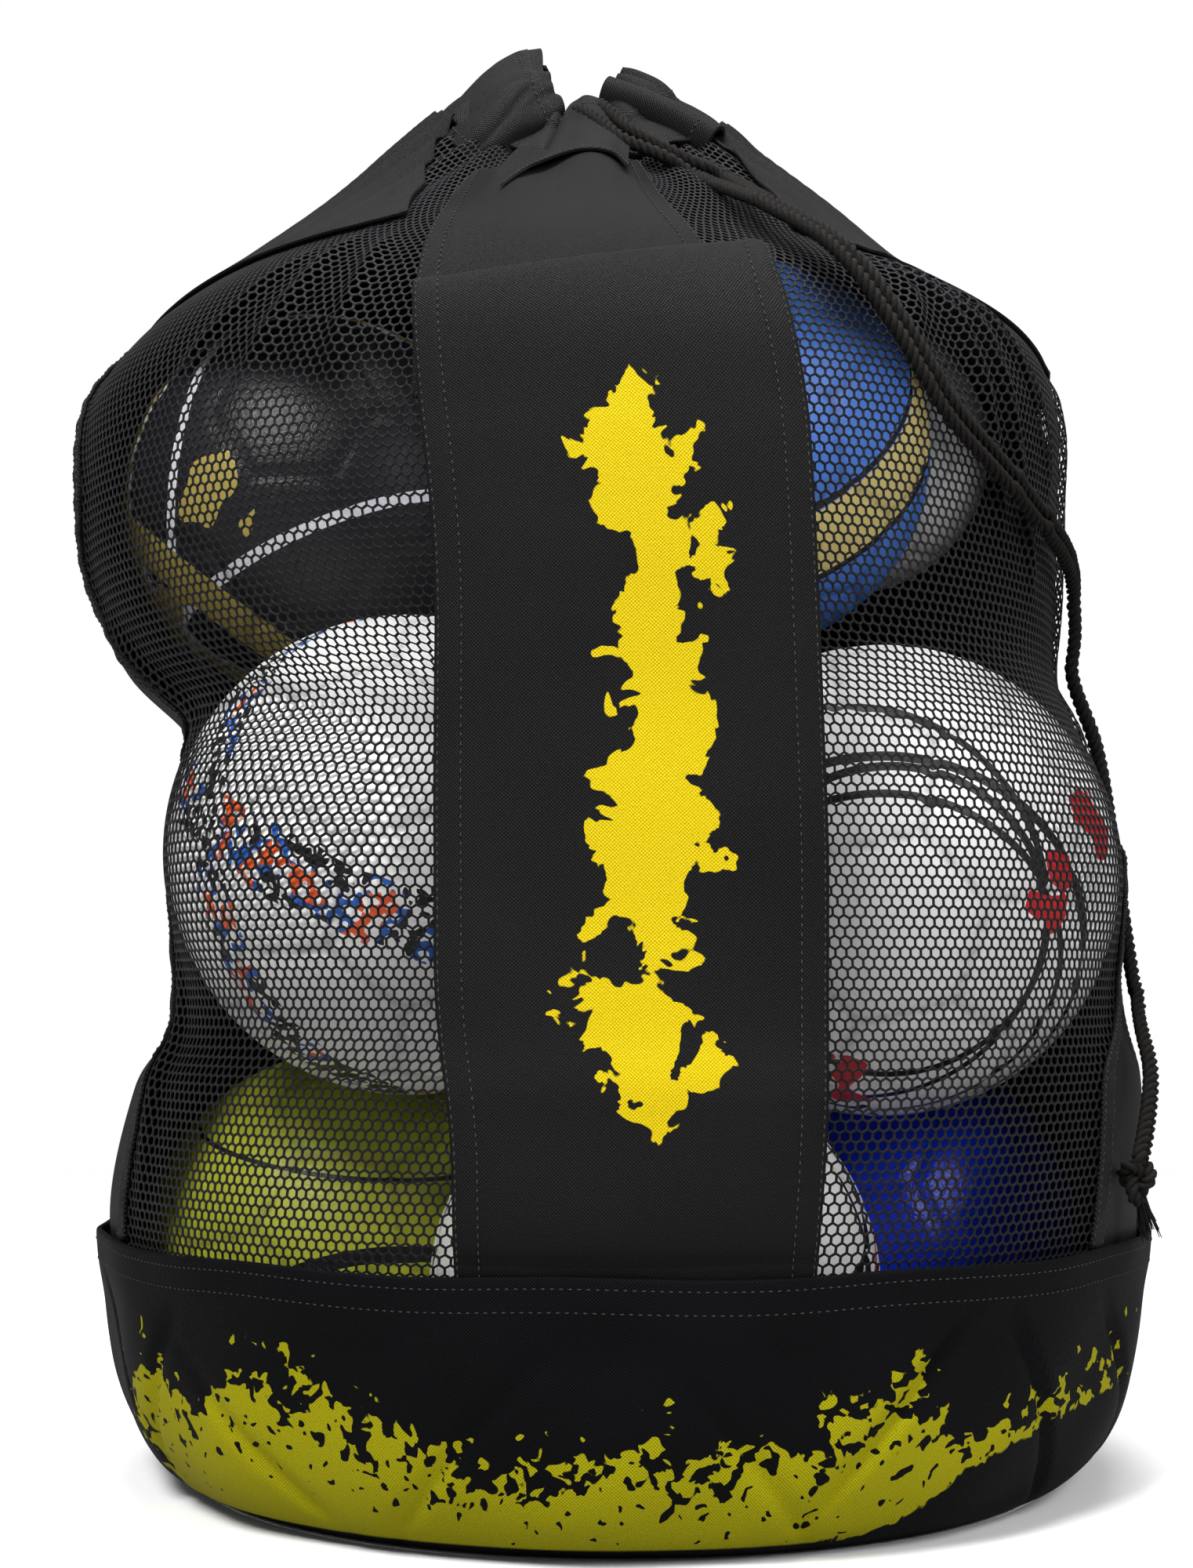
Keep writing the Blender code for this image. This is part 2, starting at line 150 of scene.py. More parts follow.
def ring(azimuth, s):
    """Points of the loft at azimuths in degrees and rows of STATIONS."""
    azimuth, s = np.broadcast_arrays(np.asarray(azimuth, float), np.asarray(s, float))
    z, centre, half_x, half_y, lobe, rise, drop = np.moveaxis(curve(STATIONS, s / MOUTH), -1, 0)
    angle = np.radians(azimuth)
    c, n = np.cos(angle), np.sin(angle)
    swell = 1.0 + lobe * np.sin(2 * angle) ** 2
    return np.stack([centre + half_x * c * swell, half_y * n * swell,
                     z - rise * c - drop * n * n], -1)


def ring_normal(azimuth, s):
    s = np.asarray(s, float)
    up = ring(azimuth, np.minimum(s + 0.03, MOUTH)) - ring(azimuth, s - 0.03)
    along = ring(np.asarray(azimuth) + 0.5, s) - ring(np.asarray(azimuth) - 0.5, s)
    return unit(np.cross(along, up))


def off_skin(azimuth, s, out):
    """Points a distance out from the plain loft."""
    return ring(azimuth, s) + ring_normal(azimuth, s) * np.asarray(out)[..., None]


TURN_STEP, ROW_STEP = 2.0, 0.06      # of the grid that pressed_out fills


def pressed_out():
    """How far the balls push the skin outwards, on a grid of azimuths and rows."""
    a, s = np.meshgrid(np.arange(0.0, 360.0, TURN_STEP), np.arange(0.0, MOUTH + 0.01, ROW_STEP))
    p, n = ring(a, s), ring_normal(a, s)
    push = np.zeros(a.shape)
    for centre, radius in BALLS.values():
        away = p - np.array(centre)
        b = (away * n).sum(-1)
        inside = b * b - (away ** 2).sum(-1) + (radius + 0.0042) ** 2
        out = np.sqrt(np.maximum(inside, 0.0)) - b
        push = np.maximum(push, np.where((inside > 0) & (out > 0) & (b > -0.02), out, 0.0))
    floor = push.copy()
    for _ in range(14):
        wide = np.concatenate([push[:, -1:], push, push[:, :1]], 1)
        wide = (wide[:, :-2] + 2 * wide[:, 1:-1] + wide[:, 2:]) / 4
        tall = np.concatenate([wide[:1], wide, wide[-1:]])
        push = np.maximum(floor, (tall[:-2] + 2 * tall[1:-1] + tall[2:]) / 4)
    return push


PUSH = pressed_out()
# Creases in the mesh: azimuth and row of the upper end, of the lower end, height, width.
CREASES = [
    (314, 10.6, 322, 7.6, 0.0045, 1.5), (318, 10.6, 330, 7.0, 0.0040, 1.4),
    (322, 10.4, 338, 8.2, 0.0035, 1.5), (311, 10.4, 308, 8.3, 0.0030, 1.4),
    (240, 10.6, 236, 8.0, 0.0035, 1.5), (246, 10.5, 247, 8.5, 0.0030, 1.2),
    (234, 10.4, 226, 8.6, 0.0030, 1.5), (236, 6.2, 243, 4.9, 0.0030, 1.4),
    (352, 9.6, 346, 6.0, 0.0040, 2.0), (340, 5.6, 345, 2.4, 0.0030, 1.6),
    (205, 6.4, 214, 5.0, 0.0035, 2.0), (206, 3.4, 210, 1.4, 0.0035, 1.8),
]


def drape(azimuth, s):
    """How far the cloth stands off the plain loft: balls, creases, and gathers at the top."""
    azimuth, s = np.broadcast_arrays(np.asarray(azimuth, float) % 360.0, np.asarray(s, float))
    x, y = azimuth / TURN_STEP, np.clip(s / ROW_STEP, 0, len(PUSH) - 1.001)
    i, j = x.astype(int), y.astype(int)
    fx, fy = x - i, y - j
    cols = PUSH.shape[1]
    low = PUSH[j, i % cols] * (1 - fx) + PUSH[j, (i + 1) % cols] * fx
    high = PUSH[j + 1, i % cols] * (1 - fx) + PUSH[j + 1, (i + 1) % cols] * fx
    out = low * (1 - fy) + high * fy
    for a0, s0, a1, s1, height, width in CREASES:
        t = np.clip((s - s0) / (s1 - s0), 0, 1)
        off = (azimuth - (a0 + (a1 - a0) * t) + 180) % 360 - 180
        along = ease((s0 + 0.4 - s) / 0.8) * ease((s - s1 + 0.6) / 1.2)
        out = out + height * along * np.exp(-(off / width) ** 2)
    angle = np.radians(azimuth)
    gather = ease((s - 10.6) / 2.6)
    out = out + gather * 0.0022 * np.sin(31 * angle + 2.2 * np.sin(3 * angle + 1))
    slack = ease((s - 1.0) / 1.5) * ease((13.5 - s) / 3)
    back = ease(np.sin(angle) * 2.0)
    return out + slack * back * 0.0030 * np.sin(7 * angle + 1.3 * s) * np.sin(1.1 * s + angle)


def cloth_at(azimuth, s, out):
    """Points of the draped cloth, a distance out from the skin."""
    return off_skin(azimuth, s, out + drape(azimuth, s))


ROWS = np.linspace(0, MOUTH, 1501)
HEIGHTS = curve(STATIONS, ROWS / MOUTH)[:, 0]
CLIMB = lengths(ring(270.0, ROWS))


def row_at(z):
    return np.interp(z, HEIGHTS, ROWS)


def skin_uv(azimuth, s):
    """The skin laid flat, in metres: round the bag and up it."""
    return np.stack([np.radians(azimuth) * PATTERN_R, np.interp(s, ROWS, CLIMB)], -1)


def turn_from(azimuth, middle):
    """Degrees from a middle azimuth, the short way round."""
    return (np.asarray(azimuth, float) - middle + 180) % 360 - 180


def mouth_weight(side, azimuth, s):
    """How much of that side's opening the cloth takes up at an azimuth and a row."""
    middle = {"left": 180.0, "right": 2.0}[side]
    off = np.abs(turn_from(azimuth, middle))
    return ease((np.asarray(s, float) - 9.7) / 3.2) * ease((82.0 - off) / 46.0)


# ---------------------------------------------------------------- building pieces
class Piece:
    """Collects surfaces, then makes them one mesh that rides on its body or bodies."""

    def __init__(self):
        self.points, self.uvs, self.weights, self.faces, self.count = [], [], [], [], 0

    def add(self, points, faces, flat=(), uv=None, weight=0.0, finish=0):
        """Points with smooth and flat faces, in blocks of faces with the same number of sides."""
        points = np.asarray(points, float).reshape(-1, 3)
        self.points.append(points)
        self.uvs.append(np.zeros((len(points), 2)) if uv is None else np.asarray(uv).reshape(-1, 2))
        self.weights.append(np.broadcast_to(np.ravel(weight), (len(points),)))
        for blocks, rounded_off in ((faces, True), (flat, False)):
            self.faces += [(block + self.count, finish, rounded_off) for block in blocks if len(block)]
        self.count += len(points)

    def make(self, name, finishes, bodies, stands_for=()):
        mesh = bpy.data.meshes.new(name)
        points = np.concatenate(self.points)
        corners = np.concatenate([block.ravel() for block, _, _ in self.faces])
        sizes = np.concatenate([np.full(len(block), block.shape[1]) for block, _, _ in self.faces])
        starts = np.concatenate([[0], np.cumsum(sizes)[:-1]])
        mesh.vertices.add(len(points))
        mesh.vertices.foreach_set("co", points.astype(np.float32).ravel())
        mesh.loops.add(len(corners))
        mesh.loops.foreach_set("vertex_index", corners.astype(np.int32))
        mesh.polygons.add(len(sizes))
        mesh.polygons.foreach_set("loop_start", starts.astype(np.int32))
        mesh.polygons.foreach_set("material_index", np.concatenate(
            [np.full(len(block), finish) for block, finish, _ in self.faces]).astype(np.int32))
        mesh.update(calc_edges=True)
        mesh.polygons.foreach_set("use_smooth", np.concatenate(
            [np.full(len(block), flag) for block, _, flag in self.faces]))
        layer = mesh.uv_layers.new(name="metres")
        layer.data.foreach_set("uv", np.concatenate(self.uvs)[corners].astype(np.float32).ravel())
        for finish in finishes:
            mesh.materials.append(finish)
        made = bpy.data.objects.new(name, mesh)
        bpy.context.scene.collection.objects.link(made)
        if len(bodies) == 1:
            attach(made, bodies[0])
        else:
            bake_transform(made, *bodies, start=(0, 0, 0), end=(0, 0, 1))
            mesh.attributes["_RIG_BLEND"].data.foreach_set(
                "value", np.concatenate(self.weights).astype(np.float32))
        if stands_for:
            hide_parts(*stands_for)


def grid_normals(grid, around=False):
    if around:
        along = np.roll(grid, -1, 1) - np.roll(grid, 1, 1)
    else:
        along = np.gradient(grid, axis=1)
    return unit(np.cross(along, np.gradient(grid, axis=0)))


def grid_uv(grid):
    """Distances along the middle row and the middle column, as a flat pattern in metres."""
    across = np.linalg.norm(np.diff(grid, axis=1), axis=-1).mean(0)
    up = np.linalg.norm(np.diff(grid, axis=0), axis=-1).mean(1)
    u, v = np.meshgrid(np.concatenate([[0], np.cumsum(across)]), np.concatenate([[0], np.cumsum(up)]))
    return np.stack([u, v], -1)


def add_sheet(piece, grid, thickness, weight=0.0, around=False, uv=None):
    """A closed sheet of cloth round a grid of points; rows go up and columns to the right."""
    rows, cols = grid.shape[:2]
    n = grid_normals(grid, around) * np.broadcast_to(thickness, (rows, cols))[..., None] / 2
    uv = grid_uv(grid) if uv is None else uv
    weight = np.broadcast_to(weight, (rows, cols))
    index = np.arange(rows * cols).reshape(rows, cols)
    total = rows * cols
    if around:
        index = np.concatenate([index, index[:, :1]], 1)
    a, b, c, d = (index[:-1, :-1], index[:-1, 1:], index[1:, 1:], index[1:, :-1])
    front = np.stack([a, b, c, d], -1).reshape(-1, 4)
    back = np.stack([a, d, c, b], -1).reshape(-1, 4) + total

    def rim(line):
        return np.stack([line[:-1], line[:-1] + total, line[1:] + total, line[1:]], -1)

    rims = [rim(index[0]), rim(index[-1][::-1])]
    if not around:
        rims += [rim(index[::-1, 0]), rim(index[:, -1])]
    piece.add(np.concatenate([(grid + n).reshape(-1, 3), (grid - n).reshape(-1, 3)]),
              [front, back], [np.concatenate(rims)],
              uv=np.concatenate([uv.reshape(-1, 2)] * 2),
              weight=np.concatenate([weight.ravel()] * 2))


def add_tube(piece, path, radius, sides=8, weight=0.0, offset=None):
    """A round cord along a path; offset shifts its centre in two directions across the path."""
    tangent = unit(np.gradient(path, axis=0))
    across = [unit(np.cross(tangent[0], (0.3, 0.9, 0.2)))]
    for t in tangent[1:]:
        across.append(unit(across[-1] - t * across[-1].dot(t)))
    across = np.array(across)
    other = np.cross(tangent, across)
    centre = path if offset is None else path + across * offset[:, :1] + other * offset[:, 1:]
    angle = np.linspace(0, 2 * math.pi, sides, endpoint=False)
    radius = np.broadcast_to(radius, (len(path),))[:, None, None]
    rings = centre[:, None] + radius * (across[:, None] * np.cos(angle)[:, None]
                                        + other[:, None] * np.sin(angle)[:, None])
    count = len(path)
    index = np.arange(count * sides).reshape(count, sides)
    index = np.concatenate([index, index[:, :1]], 1)
    side = np.stack([index[:-1, :-1], index[:-1, 1:], index[1:, 1:], index[1:, :-1]], -1)
    u, v = np.meshgrid(np.linspace(0, 0.01, sides, endpoint=False), lengths(path))
    piece.add(rings, [side.reshape(-1, 4), index[:1, :-1][:, ::-1], index[-1:, :-1]],
              uv=np.stack([u, v], -1),
              weight=np.repeat(np.broadcast_to(weight, (count,)), sides))


THREAD_R = 0.00034


def add_stitches(piece, line, normal, weight=0.0, pitch=0.0036, size=0.0027):
    """A row of separate stitches in the piece's second finish along a line on the cloth."""
    length = lengths(line)
    at = np.arange(pitch / 2, length[-1], pitch)
    centre = along_path(at, length, line)
    n = along_path(at, length, np.broadcast_to(normal, line.shape))
    t = unit(along_path(at + pitch * 0.3, length, line) - along_path(at - pitch * 0.3, length, line))
    end, across, lift = t * size / 2, np.cross(t, n) * THREAD_R, n * THREAD_R
    corners = np.stack([centre - end - lift / 2, centre + across, centre + lift, centre - across,
                        centre - lift, centre + end - lift / 2], 1)
    faces = np.array([(0, 1, 2), (0, 2, 3), (0, 3, 4), (0, 4, 1),
                      (5, 2, 1), (5, 3, 2), (5, 4, 3), (5, 1, 4)])
    faces = (faces + np.arange(len(at))[:, None, None] * 6).reshape(-1, 3)
    w = np.interp(at, length, np.broadcast_to(weight, (len(line),)))
    piece.add(corners, [faces], weight=np.repeat(w, 6), finish=1)


def sew(piece, grid, rows, lift, weight=0.0, around=False, **stitch):
    """Stitches along rows of a grid of cloth, a lift above its middle."""
    normals = grid_normals(grid, around)
    weight = np.broadcast_to(weight, grid.shape[:2])
    for row in rows:
        add_stitches(piece, grid[row] + normals[row] * lift, normals[row], weight[row], **stitch)


# ---------------------------------------------------------------- finishes
def new_finish(name, colour, roughness, sheen=0.0, specular=0.10):
    made = bpy.data.materials.new(name)
    made.use_nodes = True
    shader = made.node_tree.nodes["Principled BSDF"]
    shader.inputs["Base Color"].default_value = (*colour, 1)
    shader.inputs["Roughness"].default_value = roughness
    shader.inputs["Sheen Weight"].default_value = sheen
    shader.inputs["Sheen Roughness"].default_value = 0.5
    shader.inputs["Specular IOR Level"].default_value = specular
    return made, made.node_tree, shader


def add_node(tree, kind, values=(), output=0, **settings):
    """A shader node's output, with the node's settings and its inputs set or linked."""
    node = tree.nodes.new("ShaderNode" + kind)
    for name, value in settings.items():
        setattr(node, name, value)
    for key, value in dict(values).items():
        if isinstance(value, bpy.types.NodeSocket):
            tree.links.new(value, node.inputs[key])
        else:
            node.inputs[key].default_value = value
    return node.outputs[output]


def maths(tree, operation, *values):
    return add_node(tree, "Math", enumerate(values), operation=operation)


def noise(tree, vector, scale, detail=2.0, distortion=0.0):
    return add_node(tree, "TexNoise", {"Vector": vector, "Scale": scale, "Detail": detail,
                                       "Distortion": distortion})


def pattern(tree):
    """The flat pattern's position and its two parts, in metres."""
    uv = add_node(tree, "TexCoord", output="UV")
    parts = add_node(tree, "SeparateXYZ", {0: uv}).node
    return uv, parts.outputs[0], parts.outputs[1]


def spread(tree, value, field, middle, gain):
    """A value moved up or down by how far a noise field is from its middle."""
    return maths(tree, "MULTIPLY_ADD", maths(tree, "SUBTRACT", field, middle), gain, value)


def mix_colour(tree, share, a, b):
    a, b = ((*value, 1) if isinstance(value, tuple) else value for value in (a, b))
    return add_node(tree, "Mix", {0: share, 6: a, 7: b}, 2, data_type="RGBA")


def bump(tree, shader, height, depth):
    raised = add_node(tree, "Bump", {"Height": height, "Strength": 1.0, "Distance": depth})
    tree.links.new(raised, shader.inputs["Normal"])


def woven(name, dark, light, yarn=0.00072, depth=0.00016, sheen=0.006, specular=0.06, paint=None):
    """Plain-weave cloth: over and under yarns, slubs, worn lighter patches, and any print."""
    roughness = 0.55
    made, tree, shader = new_finish(name, dark, roughness, sheen, specular)
    uv, u, v = pattern(tree)
    warp = maths(tree, "SINE", maths(tree, "MULTIPLY", u, math.pi / yarn))
    weft = maths(tree, "SINE", maths(tree, "MULTIPLY", v, math.pi / yarn))
    weave = maths(tree, "MULTIPLY", warp, weft)
    slub = noise(tree, uv, 900.0, 1.0)
    wear = noise(tree, uv, 9.0, 3.0)
    height = maths(tree, "ADD", weave, maths(tree, "MULTIPLY", slub, 1.2))
    share = maths(tree, "MULTIPLY_ADD", weave, 0.22, wear)
    share = maths(tree, "MULTIPLY_ADD", slub, 0.35, maths(tree, "SUBTRACT", share, 0.2))
    colour = mix_colour(tree, share, dark, light)
    if paint:
        mask, tint = paint(tree, uv, u, v)
        colour = mix_colour(tree, mask, colour, tint)
    tree.links.new(colour, shader.inputs["Base Color"])
    rough = maths(tree, "MULTIPLY_ADD", wear, 0.2, roughness - 0.1)
    tree.links.new(rough, shader.inputs["Roughness"])
    bump(tree, shader, height, depth)
    return made


def profile_curve(tree, share, knots):
    """A smooth curve through (share, value) knots, both 0 to 1."""
    shaped = add_node(tree, "FloatCurve", {"Value": share})
    points = shaped.node.mapping.curves[0].points
    for _ in knots[2:]:
        points.new(0.5, 0.5)
    for point, place in zip(points, knots):
        point.location = place
    shaped.node.mapping.update()
    return shaped


PRINT_FROM, PRINT_SPAN = 205, 128.0    # azimuths that the print takes up
# Azimuth, height in mm: top of the splashed print, and its lower limit.
PRINT_TOP = ((205, 56), (213, 64), (222, 62), (230, 74), (239, 72), (246, 48), (254, 46), (262, 42),
             (269, 50), (277, 44), (286, 46), (293, 58), (299, 70), (303, 62), (306, 47), (312, 54),
             (322, 60), (333, 62))
PRINT_FOOT = ((205, 5), (290, 5), (300, 14), (306, 34), (312, 42), (322, 50), (333, 57))


def splash(tree, uv, u, v):
    """Splashed paint low on the front of the band: solid near the floor, ragged above."""
    azimuth = maths(tree, "MULTIPLY", u, 180 / math.pi / PATTERN_R)
    share = maths(tree, "MULTIPLY_ADD", azimuth, 1 / PRINT_SPAN, -PRINT_FROM / PRINT_SPAN)
    top, foot = (maths(tree, "MULTIPLY", profile_curve(
        tree, share, [((a - PRINT_FROM) / PRINT_SPAN, h / 100.0) for a, h in line]), 0.100)
        for line in (PRINT_TOP, PRINT_FOOT))
    spikes = noise(tree, uv, 34.0, 2.0, 0.6)
    blobs = noise(tree, uv, 120.0, 1.5, 0.7)
    holes = noise(tree, uv, 150.0, 1.0, 0.4)
    top = spread(tree, top, spikes, 0.5, 0.085)
    depth = maths(tree, "DIVIDE", maths(tree, "SUBTRACT", top, v), 0.010)
    body = spread(tree, depth, blobs, 0.5, 9.0)
    gaps = spread(tree, maths(tree, "MULTIPLY", depth, 0.55), holes, 0.44, 16.0)
    low = spread(tree, maths(tree, "SUBTRACT", v, foot), blobs, 0.5, 0.014)
    off_middle = maths(tree, "ABSOLUTE", maths(tree, "SUBTRACT", azimuth, 270.0))
    ends = spread(tree, maths(tree, "SUBTRACT", PRINT_SPAN / 2, off_middle), blobs, 0.5, 20.0)
    rim = maths(tree, "MULTIPLY", maths(tree, "SUBTRACT", v, 0.0062), 900.0)
    mask = maths(tree, "MULTIPLY", maths(tree, "MINIMUM", body, gaps), 6.0)
    for limit in (maths(tree, "MULTIPLY", low, 900.0), ends, rim):
        mask = maths(tree, "MINIMUM", mask, limit)
    return add_node(tree, "Clamp", {0: mask}), (0.27, 0.25, 0.003)


PAINT_U, PAINT_V, PAINT_REACH = 0.083, 0.222, 0.152   # the paint's middle and half its height


def strap_splash(tree, uv, u, v):
    """A plain column of splashed paint up the middle of the strap."""
    edge = noise(tree, uv, 26.0, 2.0, 1.0)
    fine = noise(tree, uv, 70.0, 2.0, 1.2)
    across = maths(tree, "ABSOLUTE", maths(tree, "SUBTRACT", u, PAINT_U))
    width = maths(tree, "MULTIPLY_ADD", edge, 0.085, -0.024)
    up = maths(tree, "ABSOLUTE", maths(tree, "SUBTRACT", v, PAINT_V))
    width = maths(tree, "MINIMUM", width, maths(tree, "SUBTRACT", PAINT_REACH, up))
    body = maths(tree, "DIVIDE", maths(tree, "SUBTRACT", width, across), 0.004)
    body = spread(tree, body, fine, 0.5, 10.0)
    return add_node(tree, "Clamp", {0: maths(tree, "MULTIPLY", body, 4.0)}), (0.47, 0.35, 0.002)


def fibrous(name, dark, light, scale, depth, roughness=0.8, sheen=0.3):
    """Spun or knitted yarn: fine fibres along it and uneven dye."""
    made, tree, shader = new_finish(name, dark, roughness, sheen)
    fibre = noise(tree, pattern(tree)[0], scale, 3.0)
    tree.links.new(mix_colour(tree, fibre, dark, light), shader.inputs["Base Color"])
    bump(tree, shader, fibre, depth)
    return made


POLYESTER = woven("polyester", (0.0018, 0.0018, 0.0020), (0.011, 0.011, 0.012))
BAND_CLOTH = woven("band_polyester", (0.0008, 0.0008, 0.0011), (0.0040, 0.0042, 0.0050), sheen=0.002,
                   specular=0.035, paint=splash)
STRAP_CLOTH = woven("strap_polyester", (0.0015, 0.0015, 0.0015), (0.0085, 0.0085, 0.0085),
                    paint=strap_splash)
TAPE = woven("binding_tape", (0.003, 0.003, 0.003), (0.016, 0.016, 0.017), yarn=0.0011,
             depth=0.0003)
THREAD = fibrous("sewing_thread", (0.012, 0.012, 0.012), (0.050, 0.050, 0.048), 1500.0, 0.0001,
                 0.7, 0.03)
CORD = fibrous("cord_yarn", (0.0010, 0.0010, 0.0010), (0.0110, 0.0095, 0.0085), 900.0, 0.0005, 0.8, 0.01)


def net_finish():
    """Smooth dark yarn with a fine knit."""
    made, tree, shader = new_finish("knitted_net", (0.004, 0.004, 0.005), 0.55, 0.03)
    bump(tree, shader, noise(tree, add_node(tree, "TexCoord", output="Object"), 2200.0), 0.00018)
    return made


NET = net_finish()


# ---------------------------------------------------------------- base
def build_base():
    """The round bottom panel, and the tape bound over its seam with the wall."""
    rings = np.linspace(0.002, BASE_R, 36)
    turns = np.radians(np.arange(0, 360, 3))
    r, a = np.meshgrid(rings, turns, indexing="ij")
    grid = polar(r, a, 0.0009)
    disc = Piece()
    add_sheet(disc, grid[::-1], 0.0016, around=True, uv=grid[::-1, :, :2])
    add_stitches(disc, polar(BASE_R - 0.0051, turns, 0.0018), (0, 0, 1))
    disc.make("base_disc_cloth", [POLYESTER, THREAD], ["bag"], ["base_disc"])

    angle = np.radians(np.arange(0, 360, 1.5))
    section = [(-0.0044, 0.0098), (-0.0044, 0.0030), (-0.0032, 0.0026), (-0.0014, 0.0030),
               (-0.0014, 0.0098)]
    q, h = smooth(section, 13).T[..., None]
    tape = Piece()
    add_sheet(tape, polar(BASE_R + q, angle, h + 0.0002 * np.sin(60 * angle)), 0.0008, around=True)
    for q, side in ((-0.0051, -1), (-0.0008, 1)):
        add_stitches(tape, polar(BASE_R + q, angle, 0.0066), polar(side, angle, 0.0))
    tape.make("base_binding_tape", [TAPE, THREAD], ["bag"], ["base_seam_binding"])


# Creases in the band: azimuth, height, degrees along for each metre up, depth, width.
BAND_CREASES = (
    (296, 0.060, 190, 0.0040, 0.006), (318, 0.046, -150, 0.0042, 0.007),
    (334, 0.062, -210, 0.0036, 0.006), (212, 0.050, 170, 0.0040, 0.008),
    (232, 0.034, -260, 0.0034, 0.006), (250, 0.030, 220, 0.0030, 0.006),
    (286, 0.026, -200, 0.0026, 0.006), (202, 0.082, -120, 0.0026, 0.007),
    (20, 0.055, 150, 0.0034, 0.007), (75, 0.060, -150, 0.0034, 0.007),
    (130, 0.050, 180, 0.0036, 0.008), (165, 0.075, -140, 0.0030, 0.007))


def band_wrinkles(azimuth, z):
    """Shallow dents and slanting creases in the base band, as a distance inwards."""
    a = np.radians(azimuth)
    soft = 0.0011 * np.sin(9 * a + 24 * z + 0.5) + 0.0010 * np.sin(17 * a - 41 * z + 2)
    creases = 0.0
    for a0, z0, lean, size, width in BAND_CREASES:
        off = turn_from(azimuth, a0)
        reach = np.exp(-(off / 9.0) ** 2)
        creases = creases + size * reach * np.exp(-((z - z0 - off / lean) / width) ** 2)
    fade = ease(z / 0.02) * ease((0.112 - z) / 0.03)
    return (soft + creases) * fade


def build_band():
    """Base wall, its top edge folded in and sewn twice; it rounds under at the foot."""
    t = BAND_TOP
    outline = [(0.2502, t - 0.0150), (0.2520, t - 0.0070), (0.2525, t - 0.0014),
               (0.2532, t - 0.0004), (0.2541, t - 0.0014), (0.2538, t - 0.0080),
               (0.2531, 0.1040), (0.2510, 0.0890), (0.2488, 0.0700), (0.2452, 0.0500),
               (0.2390, 0.0320), (0.2300, 0.0170), (0.2205, 0.0075), (0.2085, 0.0014)]
    profile = smooth(outline, 84)
    azimuth = np.linspace(90, 450, 481)
    z, a = np.meshgrid(profile[:, 1], azimuth, indexing="ij")
    outer = (np.arange(len(profile)) > 24)[:, None]
    angle = np.radians(a)
    hem = 0.00042 * np.sin(angle * 23) * ease((z - 0.085) / 0.03)
    r = profile[:, :1] - band_wrinkles(a, z) * outer + hem
    z = z + 0.0008 * np.sin(angle * 11 + 1) * ease((z - 0.08) / 0.03)
    grid = polar(r, angle, z)
    band = Piece()
    add_sheet(band, grid[::-1], 0.0011, uv=np.stack([angle * PATTERN_R, z], -1)[::-1])
    sew(band, grid[::-1], (54, 46), 0.0006)
    band.make("base_band_cloth", [BAND_CLOTH, THREAD], ["bag"], ["base_band"])


# ---------------------------------------------------------------- solid back
def rounded(knots, at, reach, count=5):
    """A line through knots with its corners rounded off, by a mean over a reach either way."""
    places, values = zip(*knots)
    return sum(np.interp(at + d, places, values) for d in np.linspace(-reach, reach, count)) / count


def seam(knots, s):
    """Azimuth of a side seam."""
    return rounded(knots, s, 0.3)


# Azimuth where the solid cloth ends above each seam: it comes round over the mesh.
LEFT_COVER = ((10.0, 188.0), (10.18, 192.0), (10.44, 202.0), (10.66, 214.0), (10.80, 226.0),
              (10.92, 238.0), (11.06, 246.0), (12.0, 238.0), (13.02, 224.0), (13.94, 214.0))
RIGHT_COVER = ((9.40, 9.0), (9.60, -4.0), (9.80, -14.0), (10.08, -22.0), (10.36, -29.0),
               (10.58, -37.0), (10.72, -46.0), (10.86, -53.0), (11.00, -55.0), (13.1, -38.0),
               (13.94, -38.0))
RIGHT_FROM = 9.4     # row where the right side's solid cloth starts to come round


def left_edge(s):
    return np.where(s <= SHOULDER, seam(SEAM_LEFT, s), rounded(LEFT_COVER, s, 0.06))


def right_edge(s):
    return np.where(s <= RIGHT_FROM, seam(SEAM_RIGHT, s), rounded(RIGHT_COVER, s, 0.06))


def build_back():
    """The solid back in two halves; above the seams it stands over the mesh as a cone."""
    rows = np.concatenate([np.linspace(0.72, 9.36, 124), np.linspace(RIGHT_FROM, TOP_ROW, 130)])
    for side, low, high, stands_for in (
            ("left", lambda s: 90.0 + 0 * s, left_edge,
             ["back_panel", "panel_shoulder_left", "panel_shoulder_back"]),
            ("right", right_edge, lambda s: 90.0 + 0 * s, ["panel_shoulder_right"])):
        share = np.linspace(0, 1, 110)
        a = low(rows)[:, None] + (high(rows) - low(rows))[:, None] * share
        s = np.repeat(rows[:, None], len(share), 1)
        cone = ease((s - (9.9 if side == "left" else 9.3)) / 0.4)
        rim = share if side == "left" else 1 - share
        hugged = 0.0016 * np.exp(-((1 - rim) / 0.03) ** 2) * (1 - cone)
        lift = -0.0022 + hugged + cone * 0.0021 * (0.4 + 0.6 * rim)
        piece = Piece()
        add_sheet(piece, cloth_at(a, s, lift), 0.0010, mouth_weight(side, a, s), uv=skin_uv(a, s))
        piece.make("back_cloth_" + side, [POLYESTER], ["bag", "mouth_" + side], stands_for)


